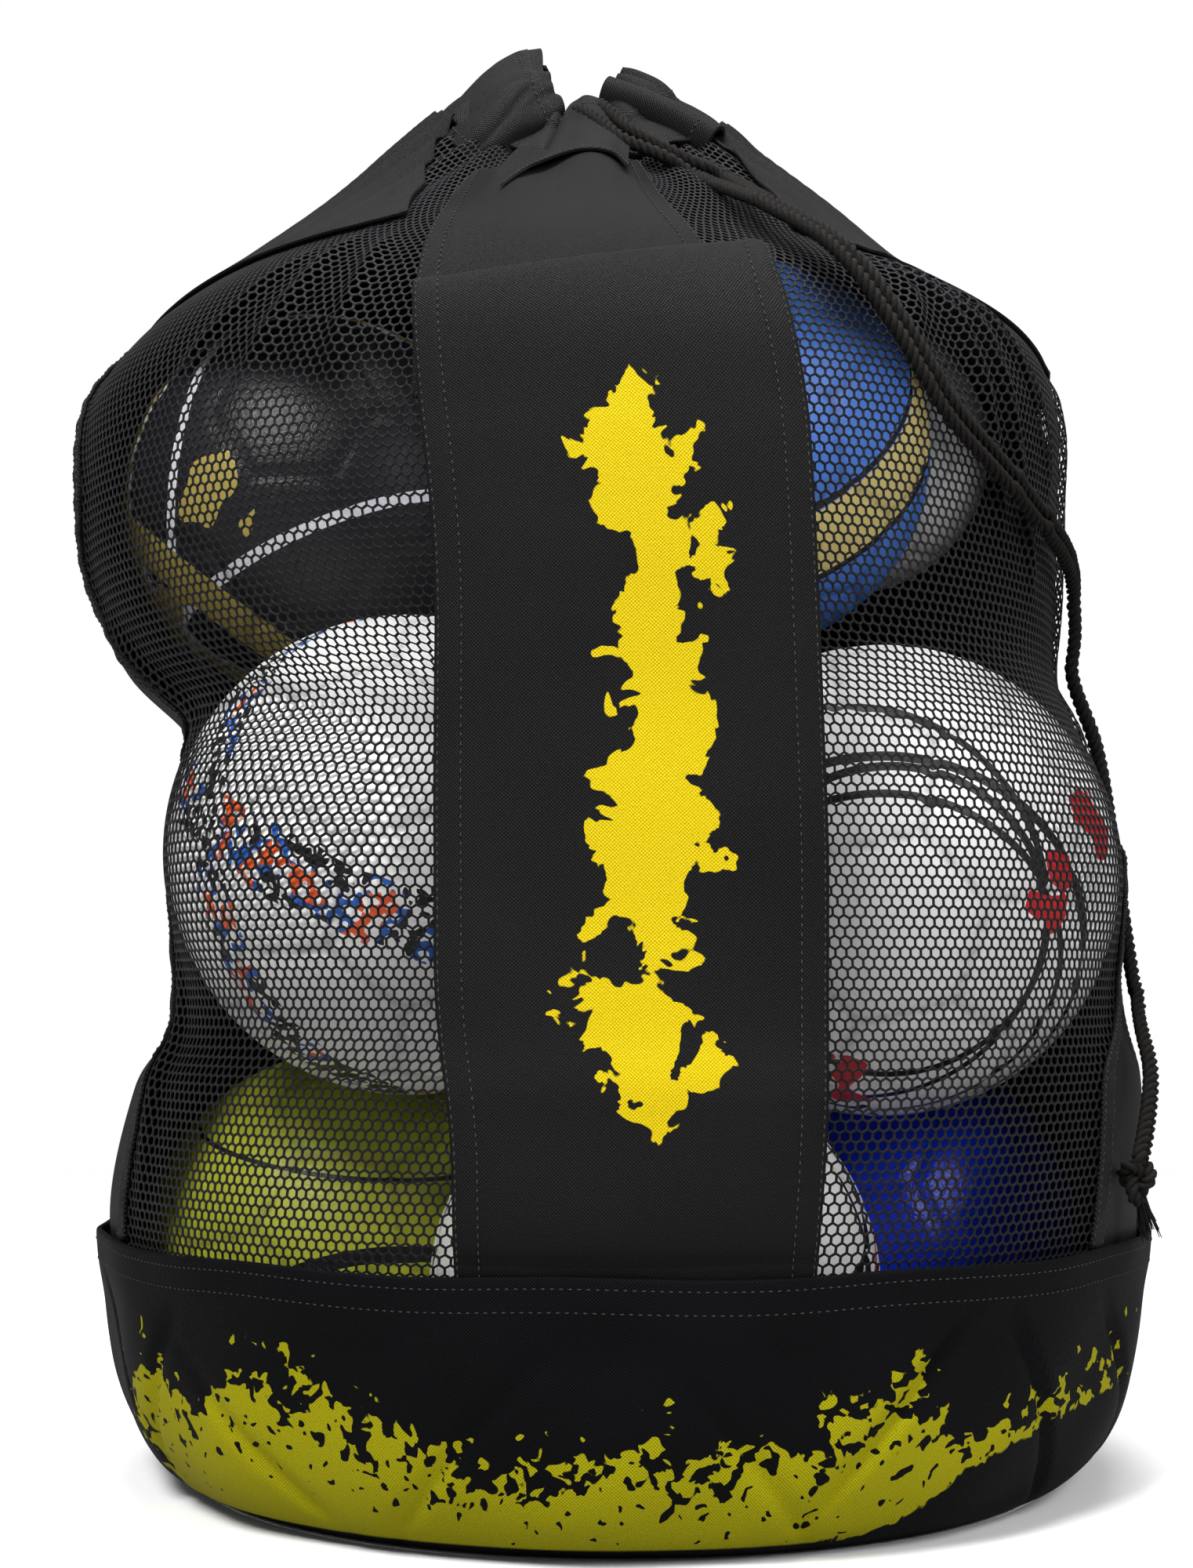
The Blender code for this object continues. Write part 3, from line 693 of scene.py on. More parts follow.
def build_side_bindings():
    """Cloth tape folded over each side seam, sewn along both edges."""
    rows = np.linspace(float(row_at(BAND_TOP + 0.001)), 9.94, 240)
    share = np.linspace(-1, 1, 9)
    for side, knots in (("left", SEAM_LEFT), ("right", SEAM_RIGHT)):
        s = np.repeat(rows[:, None], len(share), 1)
        a = seam(knots, rows)[:, None] + 1.35 * share
        ripple = 0.0005 * np.sin(rows * 21)[:, None] * (1 - share ** 2)
        piece = Piece()
        grid = cloth_at(a, s, 0.0002 + 0.0008 * (1 - share ** 4) + ripple)
        add_sheet(piece, grid, 0.0010, uv=skin_uv(a, s))
        sew(piece, np.swapaxes(grid, 0, 1)[::-1], (7, 1), 0.0006)
        piece.make("side_tape_" + side, [TAPE, THREAD], ["bag"], ["side_binding_" + side])


# ---------------------------------------------------------------- open mesh
NET_PITCH, NET_ROW = 0.0048, 0.00416      # between cells in a row, between rows
NET_YARN, NET_DEPTH = 0.00048, 0.0006     # half a strand's width, its thickness
NET_R = 0.242                             # radius at which NET_PITCH holds
CLOTH_IN = 0.0026                         # how far inside the skin the mesh and collar lie


def build_net():
    """Knitted hexagonal mesh with open holes. Cells narrow where the top is gathered.

    Each cell is the rim of its hole, front and back; strands fill the gaps between rims."""
    bottom, top = np.interp((0.70, 13.75), ROWS, CLIMB)
    low, high = 184.0, 374.0
    per_radian = NET_R / NET_PITCH
    cols = int(math.radians(high - low) * per_radian)
    rows = int((top - bottom) / NET_ROW)
    i, j = np.meshgrid(np.arange(cols), np.arange(rows))
    across = (i + 0.5 * (j % 2)) * NET_PITCH
    up = bottom + j * NET_ROW

    def turned(x):
        return low + np.degrees(x / NET_R)

    a_mid, s_mid = turned(across), np.interp(up, CLIMB, ROWS)
    covered_left = (s_mid > 10) & (a_mid < left_edge(s_mid) - 3.0)
    covered_right = (s_mid > RIGHT_FROM) & (a_mid > 360 + right_edge(s_mid) + 3.0)
    kept = ((a_mid > seam(SEAM_LEFT, s_mid) - 0.9) & (a_mid < 360.9 + seam(SEAM_RIGHT, s_mid))
            & ~covered_left & ~covered_right)

    corner = np.radians(90 - 60 * np.arange(6))
    radius = NET_PITCH / math.sqrt(3) - NET_YARN / math.cos(math.pi / 6)
    x = across[..., None] + radius * np.cos(corner)
    y = up[..., None] + radius * np.sin(corner)
    a, s = turned(x), np.clip(np.interp(y, CLIMB, ROWS), 0.5, TOP_ROW + 0.01)
    to_seam = np.minimum(np.abs(a - seam(SEAM_LEFT, s)), np.abs(a - 360 - seam(SEAM_RIGHT, s)))
    hugged = 0.0020 * np.exp(-(to_seam / 2.0) ** 2) * (s < 10)
    middle = hugged - CLOTH_IN
    points = np.stack([cloth_at(a, s, middle + half) for half in (NET_DEPTH / 2, -NET_DEPTH / 2)], 2)
    number = (j * cols + i) * 12

    def at(dj, di, side, k):
        """Vertex numbers of corner k of each cell's neighbour, -1 where there is none."""
        jj, ii = j + dj, i + di
        ok = (jj >= 0) & (jj < rows) & (ii >= 0) & (ii < cols)
        jj, ii = np.clip(jj, 0, rows - 1), np.clip(ii, 0, cols - 1)
        return np.where(ok & kept[jj, ii], number[jj, ii] + side * 6 + k, -1)

    odd = j % 2
    east, north_east, north_west = (0, 1), (1, odd), (1, odd - 1)
    here = (0, 0)
    quads = [((here, 2), (east, 4), (east, 5), (here, 1)),
             ((here, 1), (north_east, 3), (north_east, 4), (here, 0)),
             ((here, 0), (north_west, 2), (north_west, 3), (here, 5))]
    tris = [((here, 0), (north_east, 4), (north_west, 2)),
            ((here, 1), (east, 5), (north_east, 3))]
    faces, owners = {3: [], 4: []}, {3: [], 4: []}
    for shape in quads + tris:
        for side in (0, 1):
            order = shape if side == 0 else shape[::-1]
            block = np.stack([at(*where, side, k) for where, k in order], -1)
            faces[len(shape)].append(block.reshape(-1, len(shape)))
            owners[len(shape)].append(i.ravel())
    for k in range(6):
        m = (k + 1) % 6
        block = np.stack([at(0, 0, 0, m), at(0, 0, 0, k), at(0, 0, 1, k), at(0, 0, 1, m)], -1)
        faces[4].append(block.reshape(-1, 4))
        owners[4].append(i.ravel())
    points = points.reshape(-1, 3)
    a_all = np.repeat(a[:, :, None], 2, 2).ravel()
    s_all = np.repeat(s[:, :, None], 2, 2).ravel()

    front = int(math.radians(270 - low) * per_radian)
    cuts = [0, int(front * 0.36), int(front * 0.68), front,
            front + int((cols - front) * 0.32), front + int((cols - front) * 0.64), cols]
    stands = [["mesh_shoulder_left"], ["mesh_front"], [], ["mesh_shoulder_front"], [],
              ["mesh_shoulder_right"]]
    for strip, (first, last, stands_for) in enumerate(zip(cuts[:-1], cuts[1:], stands), 1):
        side = "left" if last <= front else "right"
        chosen = []
        for size in (4, 3):
            block, owner = np.concatenate(faces[size]), np.concatenate(owners[size])
            chosen.append(block[(block >= 0).all(1) & (owner >= first) & (owner < last)])
        used, back = np.unique(np.concatenate([b.ravel() for b in chosen]), return_inverse=True)
        quad_count = chosen[0].size
        piece = Piece()
        piece.add(points[used], [back[:quad_count].reshape(-1, 4), back[quad_count:].reshape(-1, 3)],
                  weight=mouth_weight(side, a_all[used], s_all[used]),
                  uv=np.stack([np.radians(a_all[used]) * PATTERN_R, s_all[used] * 0.04], -1))
        piece.make(f"net_front_{strip}", [NET], ["bag", "mouth_" + side], stands_for)


# ---------------------------------------------------------------- collar
def build_collar():
    """The gathered collar with its cord channel, in a left and a right half."""
    # share of the collar's height from its edge down, distance out
    outside = smooth([(0.0, 0.0), (0.10, 0.0022), (0.28, 0.0036), (0.40, 0.0024), (0.48, 0.0004),
                      (0.62, 0.0010), (0.80, 0.0012), (1.0, 0.0)], 40)
    inside = smooth([(0.0, 0.0), (0.12, -0.0042), (0.30, -0.0060), (0.46, -0.0032)], 14)

    def gathered(profile, azimuth, height, lift):
        a = np.repeat(azimuth[None], len(profile), 0)
        s = MOUTH - profile[:, :1] * height + 0 * a
        angle = np.radians(a)
        pleat = 0.0024 * np.sin(19 * angle + 1.6 * np.sin(4 * angle)) * (1 - 0.55 * profile[:, :1])
        return off_skin(a, s, profile[:, 1:] + pleat + lift), mouth_weight(side, a, s)

    for side, low, high, stands_for in (("left", 90.0, 270.0, ["collar_left", "collar_back"]),
                                        ("right", -90.0, 90.0, ["collar_right"])):
        azimuth = np.linspace(low, high, 260)
        grid, weight = gathered(outside, azimuth, MOUTH - COLLAR + 0.10, -CLOTH_IN)
        piece = Piece()
        add_sheet(piece, grid[::-1], 0.0010, weight[::-1])
        grid_in, weight_in = gathered(inside, azimuth, MOUTH - COLLAR, -0.0028)
        add_sheet(piece, grid_in, 0.0009, weight_in)
        sew(piece, grid[::-1], (22, 17, 2), 0.0006, weight[::-1], pitch=0.0030, size=0.0022)
        piece.make("collar_ring_" + side, [POLYESTER, THREAD], ["bag", "mouth_" + side],
                   stands_for)


def surface(knots, rows, cols):
    """A smooth grid of points through a small grid of knots."""
    knots = np.asarray(knots, float)
    tall = smooth(knots, rows)
    return np.moveaxis(smooth(np.moveaxis(tall, 1, 0), cols), 0, 1)


def build_left_fold():
    """The collar's left fold, which stands up as a flattened tube with a ragged mouth."""
    # from its lower seam to the mouth edge; each row runs top fold, front, lower edge, back
    left = [
        [(-0.0909, -0.018, 0.6527), (-0.0851, -0.045, 0.6377), (-0.0753, -0.060, 0.6251),
         (-0.0673, -0.058, 0.6126), (-0.0636, -0.040, 0.6200), (-0.0741, -0.020, 0.6426)],
        [(-0.0783, -0.014, 0.6690), (-0.0705, -0.048, 0.6477), (-0.0624, -0.062, 0.6317),
         (-0.0573, -0.055, 0.6129), (-0.0526, -0.035, 0.6243), (-0.0652, -0.010, 0.6556)],
        [(-0.0664, -0.010, 0.6823), (-0.0578, -0.044, 0.6621), (-0.0499, -0.056, 0.6448),
         (-0.0473, -0.048, 0.6256), (-0.0436, -0.028, 0.6379), (-0.0560, -0.004, 0.6711)],
        [(-0.0539, -0.008, 0.6903), (-0.0481, -0.036, 0.6714), (-0.0411, -0.046, 0.6540),
         (-0.0368, -0.040, 0.6375), (-0.0355, -0.022, 0.6494), (-0.0465, 0.000, 0.6795)],
        [(-0.0413, -0.006, 0.6929), (-0.0371, -0.030, 0.6740), (-0.0317, -0.038, 0.6610),
         (-0.0280, -0.036, 0.6520), (-0.0295, -0.020, 0.6596), (-0.0369, 0.000, 0.6841)],
    ]
    grid = surface([row + row[:1] for row in left], 60, 121)[:, :-1]
    turns = np.linspace(0, 2 * math.pi, 120, endpoint=False)
    up = np.linspace(0, 1, 60)[:, None]
    wave = 0.0016 * np.sin(5 * turns + 1)[None] * (0.2 + 0.8 * up)
    for centre, lean, deep in ((0.95, 0.9, 0.0024), (1.75, -0.7, 0.0020), (2.6, 0.6, 0.0018)):
        off = (turns[None] - centre - lean * (up - 0.5)) / 0.16
        wave = wave - deep * np.exp(-off ** 2) * (1 - 0.5 * up)
    grid = grid + grid_normals(grid, True) * wave[..., None]
    ragged = 0.0010 * np.sin(6 * turns + 0.5)[None] * ease((up - 0.75) / 0.25)
    grid = grid + ragged[..., None] * (0.5, 0.0, 0.85)
    piece = Piece()
    hem = np.where(np.arange(60)[:, None] > 47, 0.0021, 0.0012)
    add_sheet(piece, grid, hem, 1.0, around=True)
    sew(piece, grid, (46, 51), 0.0010, 1.0, around=True)
    sew(piece, grid, (5,), 0.0007, 1.0, around=True)
    piece.make("collar_fold_left", [POLYESTER, THREAD], ["bag", "mouth_left"])


def build_right_roll():
    """The collar's right side, rolled up along a line down from the mouth."""
    axis = smooth([(-0.0085, -0.026, 0.6665), (0.0080, -0.031, 0.6590), (0.0260, -0.037, 0.6490),
                   (0.0440, -0.043, 0.6370)], 60)
    along = unit(np.gradient(axis, axis=0))
    up = unit(np.cross(along, (0, 1, 0)))
    out = np.cross(up, along)
    turn = np.linspace(-0.4 * math.pi, 2.35 * math.pi, 110)
    radius = np.linspace(0.0094, 0.0058, 110)[None] * np.linspace(1.0, 0.92, 60)[:, None]
    radius = radius * (1 + 0.06 * np.sin(3 * turn + 2))[None]
    grid = axis[:, None] - radius[..., None] * (up[:, None] * np.cos(turn)[:, None]
                                                + out[:, None] * np.sin(turn)[:, None] * 0.85)
    piece = Piece()
    add_sheet(piece, grid[:, ::-1], np.where(np.arange(60)[:, None] > 50, 0.0018, 0.0011), 1.0)
    normals = grid_normals(grid[:, ::-1])[:, ::-1]
    add_stitches(piece, grid[50] + normals[50] * 0.0009, normals[50], 1.0)
    piece.make("collar_roll_right", [POLYESTER, THREAD], ["bag", "mouth_right"])


def build_peak():
    """The collar's front, a peak over the strap's sewn top."""
    # rows run from the strap up to the collar's edge
    peak = [
        [(-0.0533, -0.157, 0.5784), (-0.0455, -0.143, 0.5890), (-0.0374, -0.131, 0.5973),
         (-0.0202, -0.112, 0.6094), (-0.0061, -0.116, 0.6070), (0.0018, -0.134, 0.5945)],
        [(-0.0410, -0.105, 0.6050), (-0.0350, -0.102, 0.6100), (-0.0280, -0.098, 0.6150),
         (-0.0185, -0.091, 0.6225), (-0.0070, -0.092, 0.6215), (0.0020, -0.100, 0.6120)],
        [(-0.0369, -0.072, 0.6225), (-0.0310, -0.073, 0.6290), (-0.0239, -0.072, 0.6344),
         (-0.0174, -0.071, 0.6370), (-0.0076, -0.071, 0.6351), (0.0030, -0.073, 0.6270)],
        [(-0.0307, -0.060, 0.6379), (-0.0270, -0.061, 0.6434), (-0.0223, -0.060, 0.6467),
         (-0.0175, -0.060, 0.6478), (-0.0095, -0.060, 0.6463), (0.0010, -0.062, 0.6397)],
        [(-0.0280, -0.048, 0.6477), (-0.0251, -0.049, 0.6518), (-0.0214, -0.048, 0.6547),
         (-0.0177, -0.048, 0.6565), (-0.0114, -0.048, 0.6547), (-0.0041, -0.050, 0.6499)],
    ]
    grid = surface(peak, 44, 70)
    piece = Piece()
    add_sheet(piece, grid, np.where(np.arange(44)[:, None] > 34, 0.0018, 0.0011))
    sew(piece, grid, (1, 34), 0.0008)
    piece.make("collar_peak_front", [POLYESTER, THREAD], ["bag"], ["collar_front"])


# ---------------------------------------------------------------- carrying strap
STRAP_WIDTH = 0.150
# Height, place across: the loose part's edges, and the edges above the tuck.
LEFT_LINE = [(0.104, -0.0667), (0.121, -0.0667), (0.179, -0.0676), (0.2253, -0.0747),
             (0.317, -0.0753), (0.3967, -0.0747), (0.437, -0.0776), (0.4757, -0.0820),
             (0.5100, -0.0848), (0.56, -0.0848)]
RIGHT_LINE = [(0.104, 0.0758), (0.121, 0.0758), (0.179, 0.0800), (0.2865, 0.0811),
              (0.3477, 0.079), (0.424, 0.0758), (0.470, 0.0725), (0.4797, 0.0698),
              (0.5167, 0.0615), (0.533, 0.0560), (0.56, 0.0560)]
TOP_LEFT = [(0.45, -0.0835), (0.535, -0.0835), (0.554, -0.0785), (0.579, -0.0705),
            (0.597, -0.0668), (0.648, -0.0600)]
TOP_RIGHT = [(0.45, 0.0450), (0.530, 0.0380), (0.560, 0.0180), (0.580, 0.0122),
             (0.600, 0.0090), (0.615, 0.0055), (0.648, 0.0000)]
# Share of the strap's width, share of the full height its top end reaches above the shoulder.
TOP_END = ((0.0, 0.40), (0.12, 0.56), (0.3, 0.86), (0.5, 1.0), (0.75, 0.98), (0.9, 0.82), (1.0, 0.62))


def side_line(knots, z):
    """Where the strap's edge is at heights."""
    return rounded(knots, z, 0.02, 9)


def azimuth_of(x, row):
    """Azimuth of the skin in front of a place across the bag, at a row."""
    station = curve(STATIONS, row / MOUTH)
    return 270.0 + np.degrees(np.arcsin(np.clip((x - station[..., 1]) / station[..., 2], -1, 1)))


def build_strap():
    """One strip from the base hem up the front, folded over at the top, down behind itself,
    and up to the collar's front seam."""
    # height, distance out from the skin, share of the front's pull
    path = np.array([
        (0.1060, -0.0030, 0.0), (0.1180, -0.0020, 0.0), (0.1260, 0.0030, 0.0),
        (0.1400, 0.0068, 0.05), (0.1860, 0.0095, 0.35), (0.2230, 0.0125, 0.65),
        (0.2700, 0.0135, 0.92), (0.3200, 0.0150, 1.0), (0.3700, 0.0172, 1.0),
        (0.4200, 0.0176, 1.0), (0.4620, 0.0186, 1.0), (0.4950, 0.0204, 1.0),
        (0.5180, 0.0215, 1.0), (0.5275, 0.0196, 1.0), (0.5262, 0.0166, 0.98),
        (0.5150, 0.0146, 0.95), (0.4900, 0.0128, 0.88), (0.4740, 0.0108, 0.80),
        (0.4716, 0.0084, 0.75), (0.4800, 0.0066, 0.66), (0.5000, 0.0060, 0.50),
        (0.5300, 0.0056, 0.30), (0.5650, 0.0056, 0.12), (0.6000, 0.0056, 0.02),
        (0.6280, 0.0050, 0.0), (0.6480, 0.0030, 0.0)])
    count = 420
    z, out, pull = smooth(path, count).T
    pull = np.clip(pull, 0, 1)
    turn_at = np.linspace(0, 1, count) * (len(path) - 1)
    share = np.linspace(0, 1, 101)
    behind = ease((turn_at - 13) / 4)
    above = np.maximum(z - 0.56, 0.0)
    top_left = side_line(TOP_LEFT, z - above * (1 - TOP_END[0][1]))
    top_right = side_line(TOP_RIGHT, z - above * (1 - TOP_END[-1][1]))
    left = side_line(LEFT_LINE, z) * (1 - behind) + top_left * behind
    right = side_line(RIGHT_LINE, z) * (1 - behind) + top_right * behind
    x = left[:, None] + (right - left)[:, None] * share
    on_skin = ease((turn_at - 16) / 3)[:, None]
    centre = (left + right)[:, None] / 2
    tilt = 0.14 * np.clip((z - 0.42) / 0.109, 0, 1)[:, None] * (1 - on_skin)
    z, above, out = z[:, None], above[:, None], out[:, None]
    # the loose part, a slack sheet in front of the bag with its right corner a little low
    dip = 0.0035 * ease((share - 0.95) / 0.05) ** 2 * ease((z - 0.50) / 0.02) * (1 - on_skin)
    height = z + tilt * (x - centre) - dip
    row = row_at(height)
    front = ring(270.0, row)[..., 1] - out
    bow = 2.15 - 1.05 * np.clip((z - 0.12) / 0.07, 0, 1)
    wave = 0.0012 * np.sin(z * 62 + share * 2.0) + 0.0020 * np.sin(z * 23 + share * 3.1)
    loose = ease((z - 0.13) / 0.06) * (1 - on_skin)
    flat = np.stack([x, front + bow * x * x - 0.25 * loose * wave, height], -1)
    clear = cloth_at(azimuth_of(x, row), np.clip(row, 0, 12.5), 0.0012)[..., 1]
    flat[..., 1] = np.where(on_skin > 0, flat[..., 1],
                            np.minimum(flat[..., 1], clear - 0.0016 * ease((z - 0.118) / 0.01)))
    # the part above the tuck, laid on the skin up to the collar
    row = row_at(z - above * (1 - np.interp(share, *zip(*TOP_END))))
    azimuth = azimuth_of(x, row)
    ripples = ease((z - 0.545) / 0.06) * 0.0016 * np.sin(share * 21 + 2 * np.sin(share * 5))
    laid = off_skin(azimuth, row, out + ripples + np.maximum(drape(azimuth, row) - 0.002, 0))
    grid = flat * (1 - on_skin[..., None]) + laid * on_skin[..., None]
    across = share * STRAP_WIDTH
    hemmed = np.minimum(across, STRAP_WIDTH - across) < 0.0104
    uv = np.stack(np.meshgrid(across, lengths(grid[:, 50])), -1)
    piece = Piece()
    add_sheet(piece, grid, np.where(hemmed, 0.0019, 0.0011)[None], pull[:, None], uv=uv)
    normals = grid_normals(grid)
    shown = slice(12, None)
    for col, raised in ((1, 0.0011), (7, 0.0009), (93, 0.0009), (99, 0.0011)):
        for sign in (1, -1):
            add_stitches(piece, (grid + sign * normals * raised)[shown, col],
                         (sign * normals)[shown, col], pull[shown])
    piece.make("strap_cloth", [STRAP_CLOTH, THREAD], ["bag", "strap"],
               ["strap_foot", "strap_body", "strap_fold", "strap_top"])


# ---------------------------------------------------------------- drawcord
CORD_R = 0.0029
CORD_STEPS = 26      # points to a knot along a strand
CHANNEL_ROW, CHANNEL_IN = 14.70, -0.0035    # the cord in the collar: its row, distance out


def add_rope(piece, path, weight, start=0.0):
    """Three plies laid round each other."""
    length = lengths(path)
    at = np.linspace(0, length[-1], int(length[-1] / 0.0009))
    line = along_path(at, length, path)
    w = np.interp(at, length, np.broadcast_to(weight, (len(path),)))
    for ply in range(3):
        turn = (at + start) / 0.0125 * 2 * math.pi + ply * 2 * math.pi / 3
        offset = np.stack([np.cos(turn), np.sin(turn)], -1) * CORD_R * 0.50
        radius = CORD_R * (0.60 + 0.04 * np.sin(at * 2300 + ply))
        add_tube(piece, line, radius, 8, w, offset=offset)


def cord_line(knots, shift):
    """A strand over the cloth: (azimuth, height, distance out) knots, shifted sideways."""
    a, z, out = smooth(knots, CORD_STEPS * len(knots)).T
    s = row_at(z)
    line = off_skin(a, s, out + np.maximum(drape(a, s) - 0.002, 0))
    sideways = unit(np.cross(np.gradient(line, axis=0), ring_normal(a, s)))
    return line + sideways * np.asarray(shift)[..., None], a, s


def build_strands():
    """Two strands out of the mouth, over the shoulder and down the right side."""
    # azimuth, height, distance out: over the shoulder, then down the side
    over = [(297.5, 0.5760, 0.0100), (299.5, 0.5420, 0.0090), (304.5, 0.5110, 0.0075),
            (312.0, 0.4740, 0.0068), (325.0, 0.4450, 0.0066), (335.0, 0.4330, 0.0068),
            (339.0, 0.4290, 0.0069)]
    hang = [(339.0, 0.4290, 0.0069), (345.0, 0.4180, 0.0068), (346.5, 0.3980, 0.0066),
            (347.5, 0.3480, 0.0068), (348.0, 0.2950, 0.0066), (346.0, 0.2400, 0.0075),
            (337.0, 0.1980, 0.0066), (330.5, 0.1620, 0.0080)]
    knot_top = np.array((0.2250, -0.1320, 0.1560))
    leave_a = [(-0.0250, -0.046, 0.6480), (-0.0225, -0.058, 0.6470), (-0.0142, -0.068, 0.6398),
               (-0.0011, -0.082, 0.6251), (0.0179, -0.088, 0.6148), (0.0339, -0.091, 0.6042)]
    leave_b = [(-0.0130, -0.044, 0.6510), (-0.0105, -0.056, 0.6495), (0.0022, -0.073, 0.6329),
               (0.0180, -0.080, 0.6218), (0.0341, -0.084, 0.6125), (0.0480, -0.086, 0.6050)]
    for label, leave, sign in (("a", leave_a, 1.0), ("b", leave_b, -1.0)):
        line, a, s = cord_line(over, sign * 0.0034)
        start = smooth(np.concatenate([leave, line[6:7]]), 90)[:-1]
        swing = mouth_weight("right", a[6:], s[6:])
        piece = Piece()
        add_rope(piece, np.concatenate([start, line[6:]]),
                 np.concatenate([np.linspace(0, swing[0], len(start)), swing]))
        piece.make("drawcord_run_" + label, [CORD], ["bag", "mouth_right"], ["cord_run_" + label])
        share = np.linspace(0, 1, CORD_STEPS * len(hang))
        line, a, s = cord_line(hang, sign * (0.0034 + 0.0030 * np.exp(-((share - 0.18) / 0.09) ** 2)))
        drop = smooth([line[-1], line[-1] * 0.45 + knot_top * 0.55 + (0.0, -0.002, 0.0),
                       knot_top + (0.0, sign * 0.0012, -0.002)], 20)[1:]
        path = np.concatenate([line, drop])
        piece = Piece()
        add_rope(piece, path, ease(lengths(path) / 0.030), start=0.004)
        piece.make("drawcord_tail_" + label, [CORD], ["bag", "cord_tail"], ["cord_tail_" + label])


def build_knot():
    """The knot that joins the two strands, with its frayed end."""
    t = np.linspace(0, 2 * math.pi, 90)
    loop = np.stack([np.sin(t) + 2 * np.sin(2 * t), -np.sin(3 * t), np.cos(t) - 2 * np.cos(2 * t)], -1)
    knob = np.array((0.2262, -0.1308, 0.1490))
    piece = Piece()
    add_rope(piece, knob + loop * (0.0020, 0.0026, 0.0030), 0.0)
    rng = np.random.default_rng(5)
    for _ in range(46):
        splay = rng.normal(0, 1, 3) * (0.0026, 0.0020, 0.0012)
        foot = np.array((0.2322, -0.1262, 0.1255 + rng.uniform(-0.003, 0.004))) + splay
        middle = np.array((0.2290, -0.1290, 0.1375)) + splay * 0.45 + rng.normal(0, 0.0004, 3)
        path = smooth([knob + splay * 0.25, middle, foot], 9)
        add_tube(piece, path, np.linspace(0.00060, 0.00022, 9), 5)
    piece.make("drawcord_knot", [CORD], ["cord_tail"], ["cord_knot"])


def build_channel_cord():
    """The lengths of cord inside the collar."""
    for side, low, high, nodes in (("left", 91.0, 269.0, ["channel_cord_left", "channel_cord_back"]),
                                   ("right", -89.0, 89.0, ["channel_cord_right"])):
        a = np.linspace(low, high, 120)
        piece = Piece()
        add_rope(piece, off_skin(a, CHANNEL_ROW, CHANNEL_IN), mouth_weight(side, a, CHANNEL_ROW))
        piece.make("drawcord_channel_" + side, [CORD], ["bag", "mouth_" + side], nodes)
    a = np.linspace(250.0, 294.0, 50)
    piece = Piece()
    add_rope(piece, off_skin(a, CHANNEL_ROW, CHANNEL_IN) + (0, 0.012, -0.001), 0.0)
    piece.make("drawcord_channel_front", [CORD], ["bag"], ["channel_cord_front"])


# ---------------------------------------------------------------- balls inside
def panel_centres():
    """The 12 five-sided and 20 six-sided panels of a ball, as directions."""
    g = (1 + math.sqrt(5)) / 2
    five = []
    for a in (-1, 1):
        for b in (-g, g):
            five += [(0, a, b), (a, b, 0), (b, 0, a)]
    five = np.array(five) / math.sqrt(1 + g * g)
    six = []
    for i in range(12):
        for j in range(i + 1, 12):
            for k in range(j + 1, 12):
                if five[i] @ five[j] > 0.4 and five[j] @ five[k] > 0.4 and five[i] @ five[k] > 0.4:
                    middle = five[i] + five[j] + five[k]
                    six.append(middle / np.linalg.norm(middle))
    return five, np.array(six)


# Printed arcs on a ball: (direction, offset along it in radii, half width in radii, colour).
GOLD, SILVER, INK, RED, BLUE = ((0.42, 0.33, 0.08), (0.75, 0.75, 0.80), (0.010, 0.010, 0.012),
                                (0.50, 0.012, 0.020), (0.02, 0.10, 0.42))
ARCS = {
    "top_left": (((0.14, -0.99, -0.02), 0.30, 0.060, GOLD), ((0.14, -0.99, -0.02), 0.375, 0.018, SILVER),
                 ((-0.96, 0.24, 0.12), 0.38, 0.026, SILVER), ((0.38, -0.17, -0.91), 0.42, 0.026, SILVER),
                 ((-0.60, 0.10, -0.79), 0.62, 0.080, GOLD)),
    "top_middle": (((-0.29, -0.73, 0.62), 0.05, 0.170, (0.68, 0.56, 0.20)),
                   ((-0.29, -0.73, 0.62), -0.14, 0.020, INK), ((-0.29, -0.73, 0.62), 0.24, 0.014, INK)),
    "middle_right": (((-0.06, -0.97, -0.25), 0.78, 0.012, INK), ((-0.09, -0.88, -0.47), 0.70, 0.012, INK),
                     ((-0.09, -0.88, -0.47), 0.575, 0.018, INK), ((-0.31, -0.93, -0.19), 0.60, 0.014, INK)),
    "low_middle": (((-0.09, -0.99, 0.08), 0.30, 0.016, INK), ((0.63, -0.58, 0.52), 0.89, 0.014, INK),
                   ((0.63, -0.58, 0.52), 0.82, 0.010, RED)),
    "low_left": (((0.20, -0.60, -0.77), 0.55, 0.030, INK), ((0.10, -0.20, 0.97), 0.62, 0.009, INK)),
}
# Small marks: (direction, size in radii, colour).
MARKS = {
    "middle_right": (((0.60, -0.80, -0.02), 0.085, RED), ((-0.18, -0.54, -0.82), 0.09, RED),
                     ((0.80, -0.56, 0.21), 0.06, RED)),
    "top_left": (((-0.37, -0.92, -0.13), 0.14, GOLD), ((-0.65, -0.53, -0.55), 0.13, GOLD)),
}
# Bands of coloured dots: (direction, offset, half width).
DOTS = {"middle_left": (((0.66, -0.75, 0.09), 0.03, 0.10), ((0.38, -0.26, 0.89), 0.0, 0.13))}


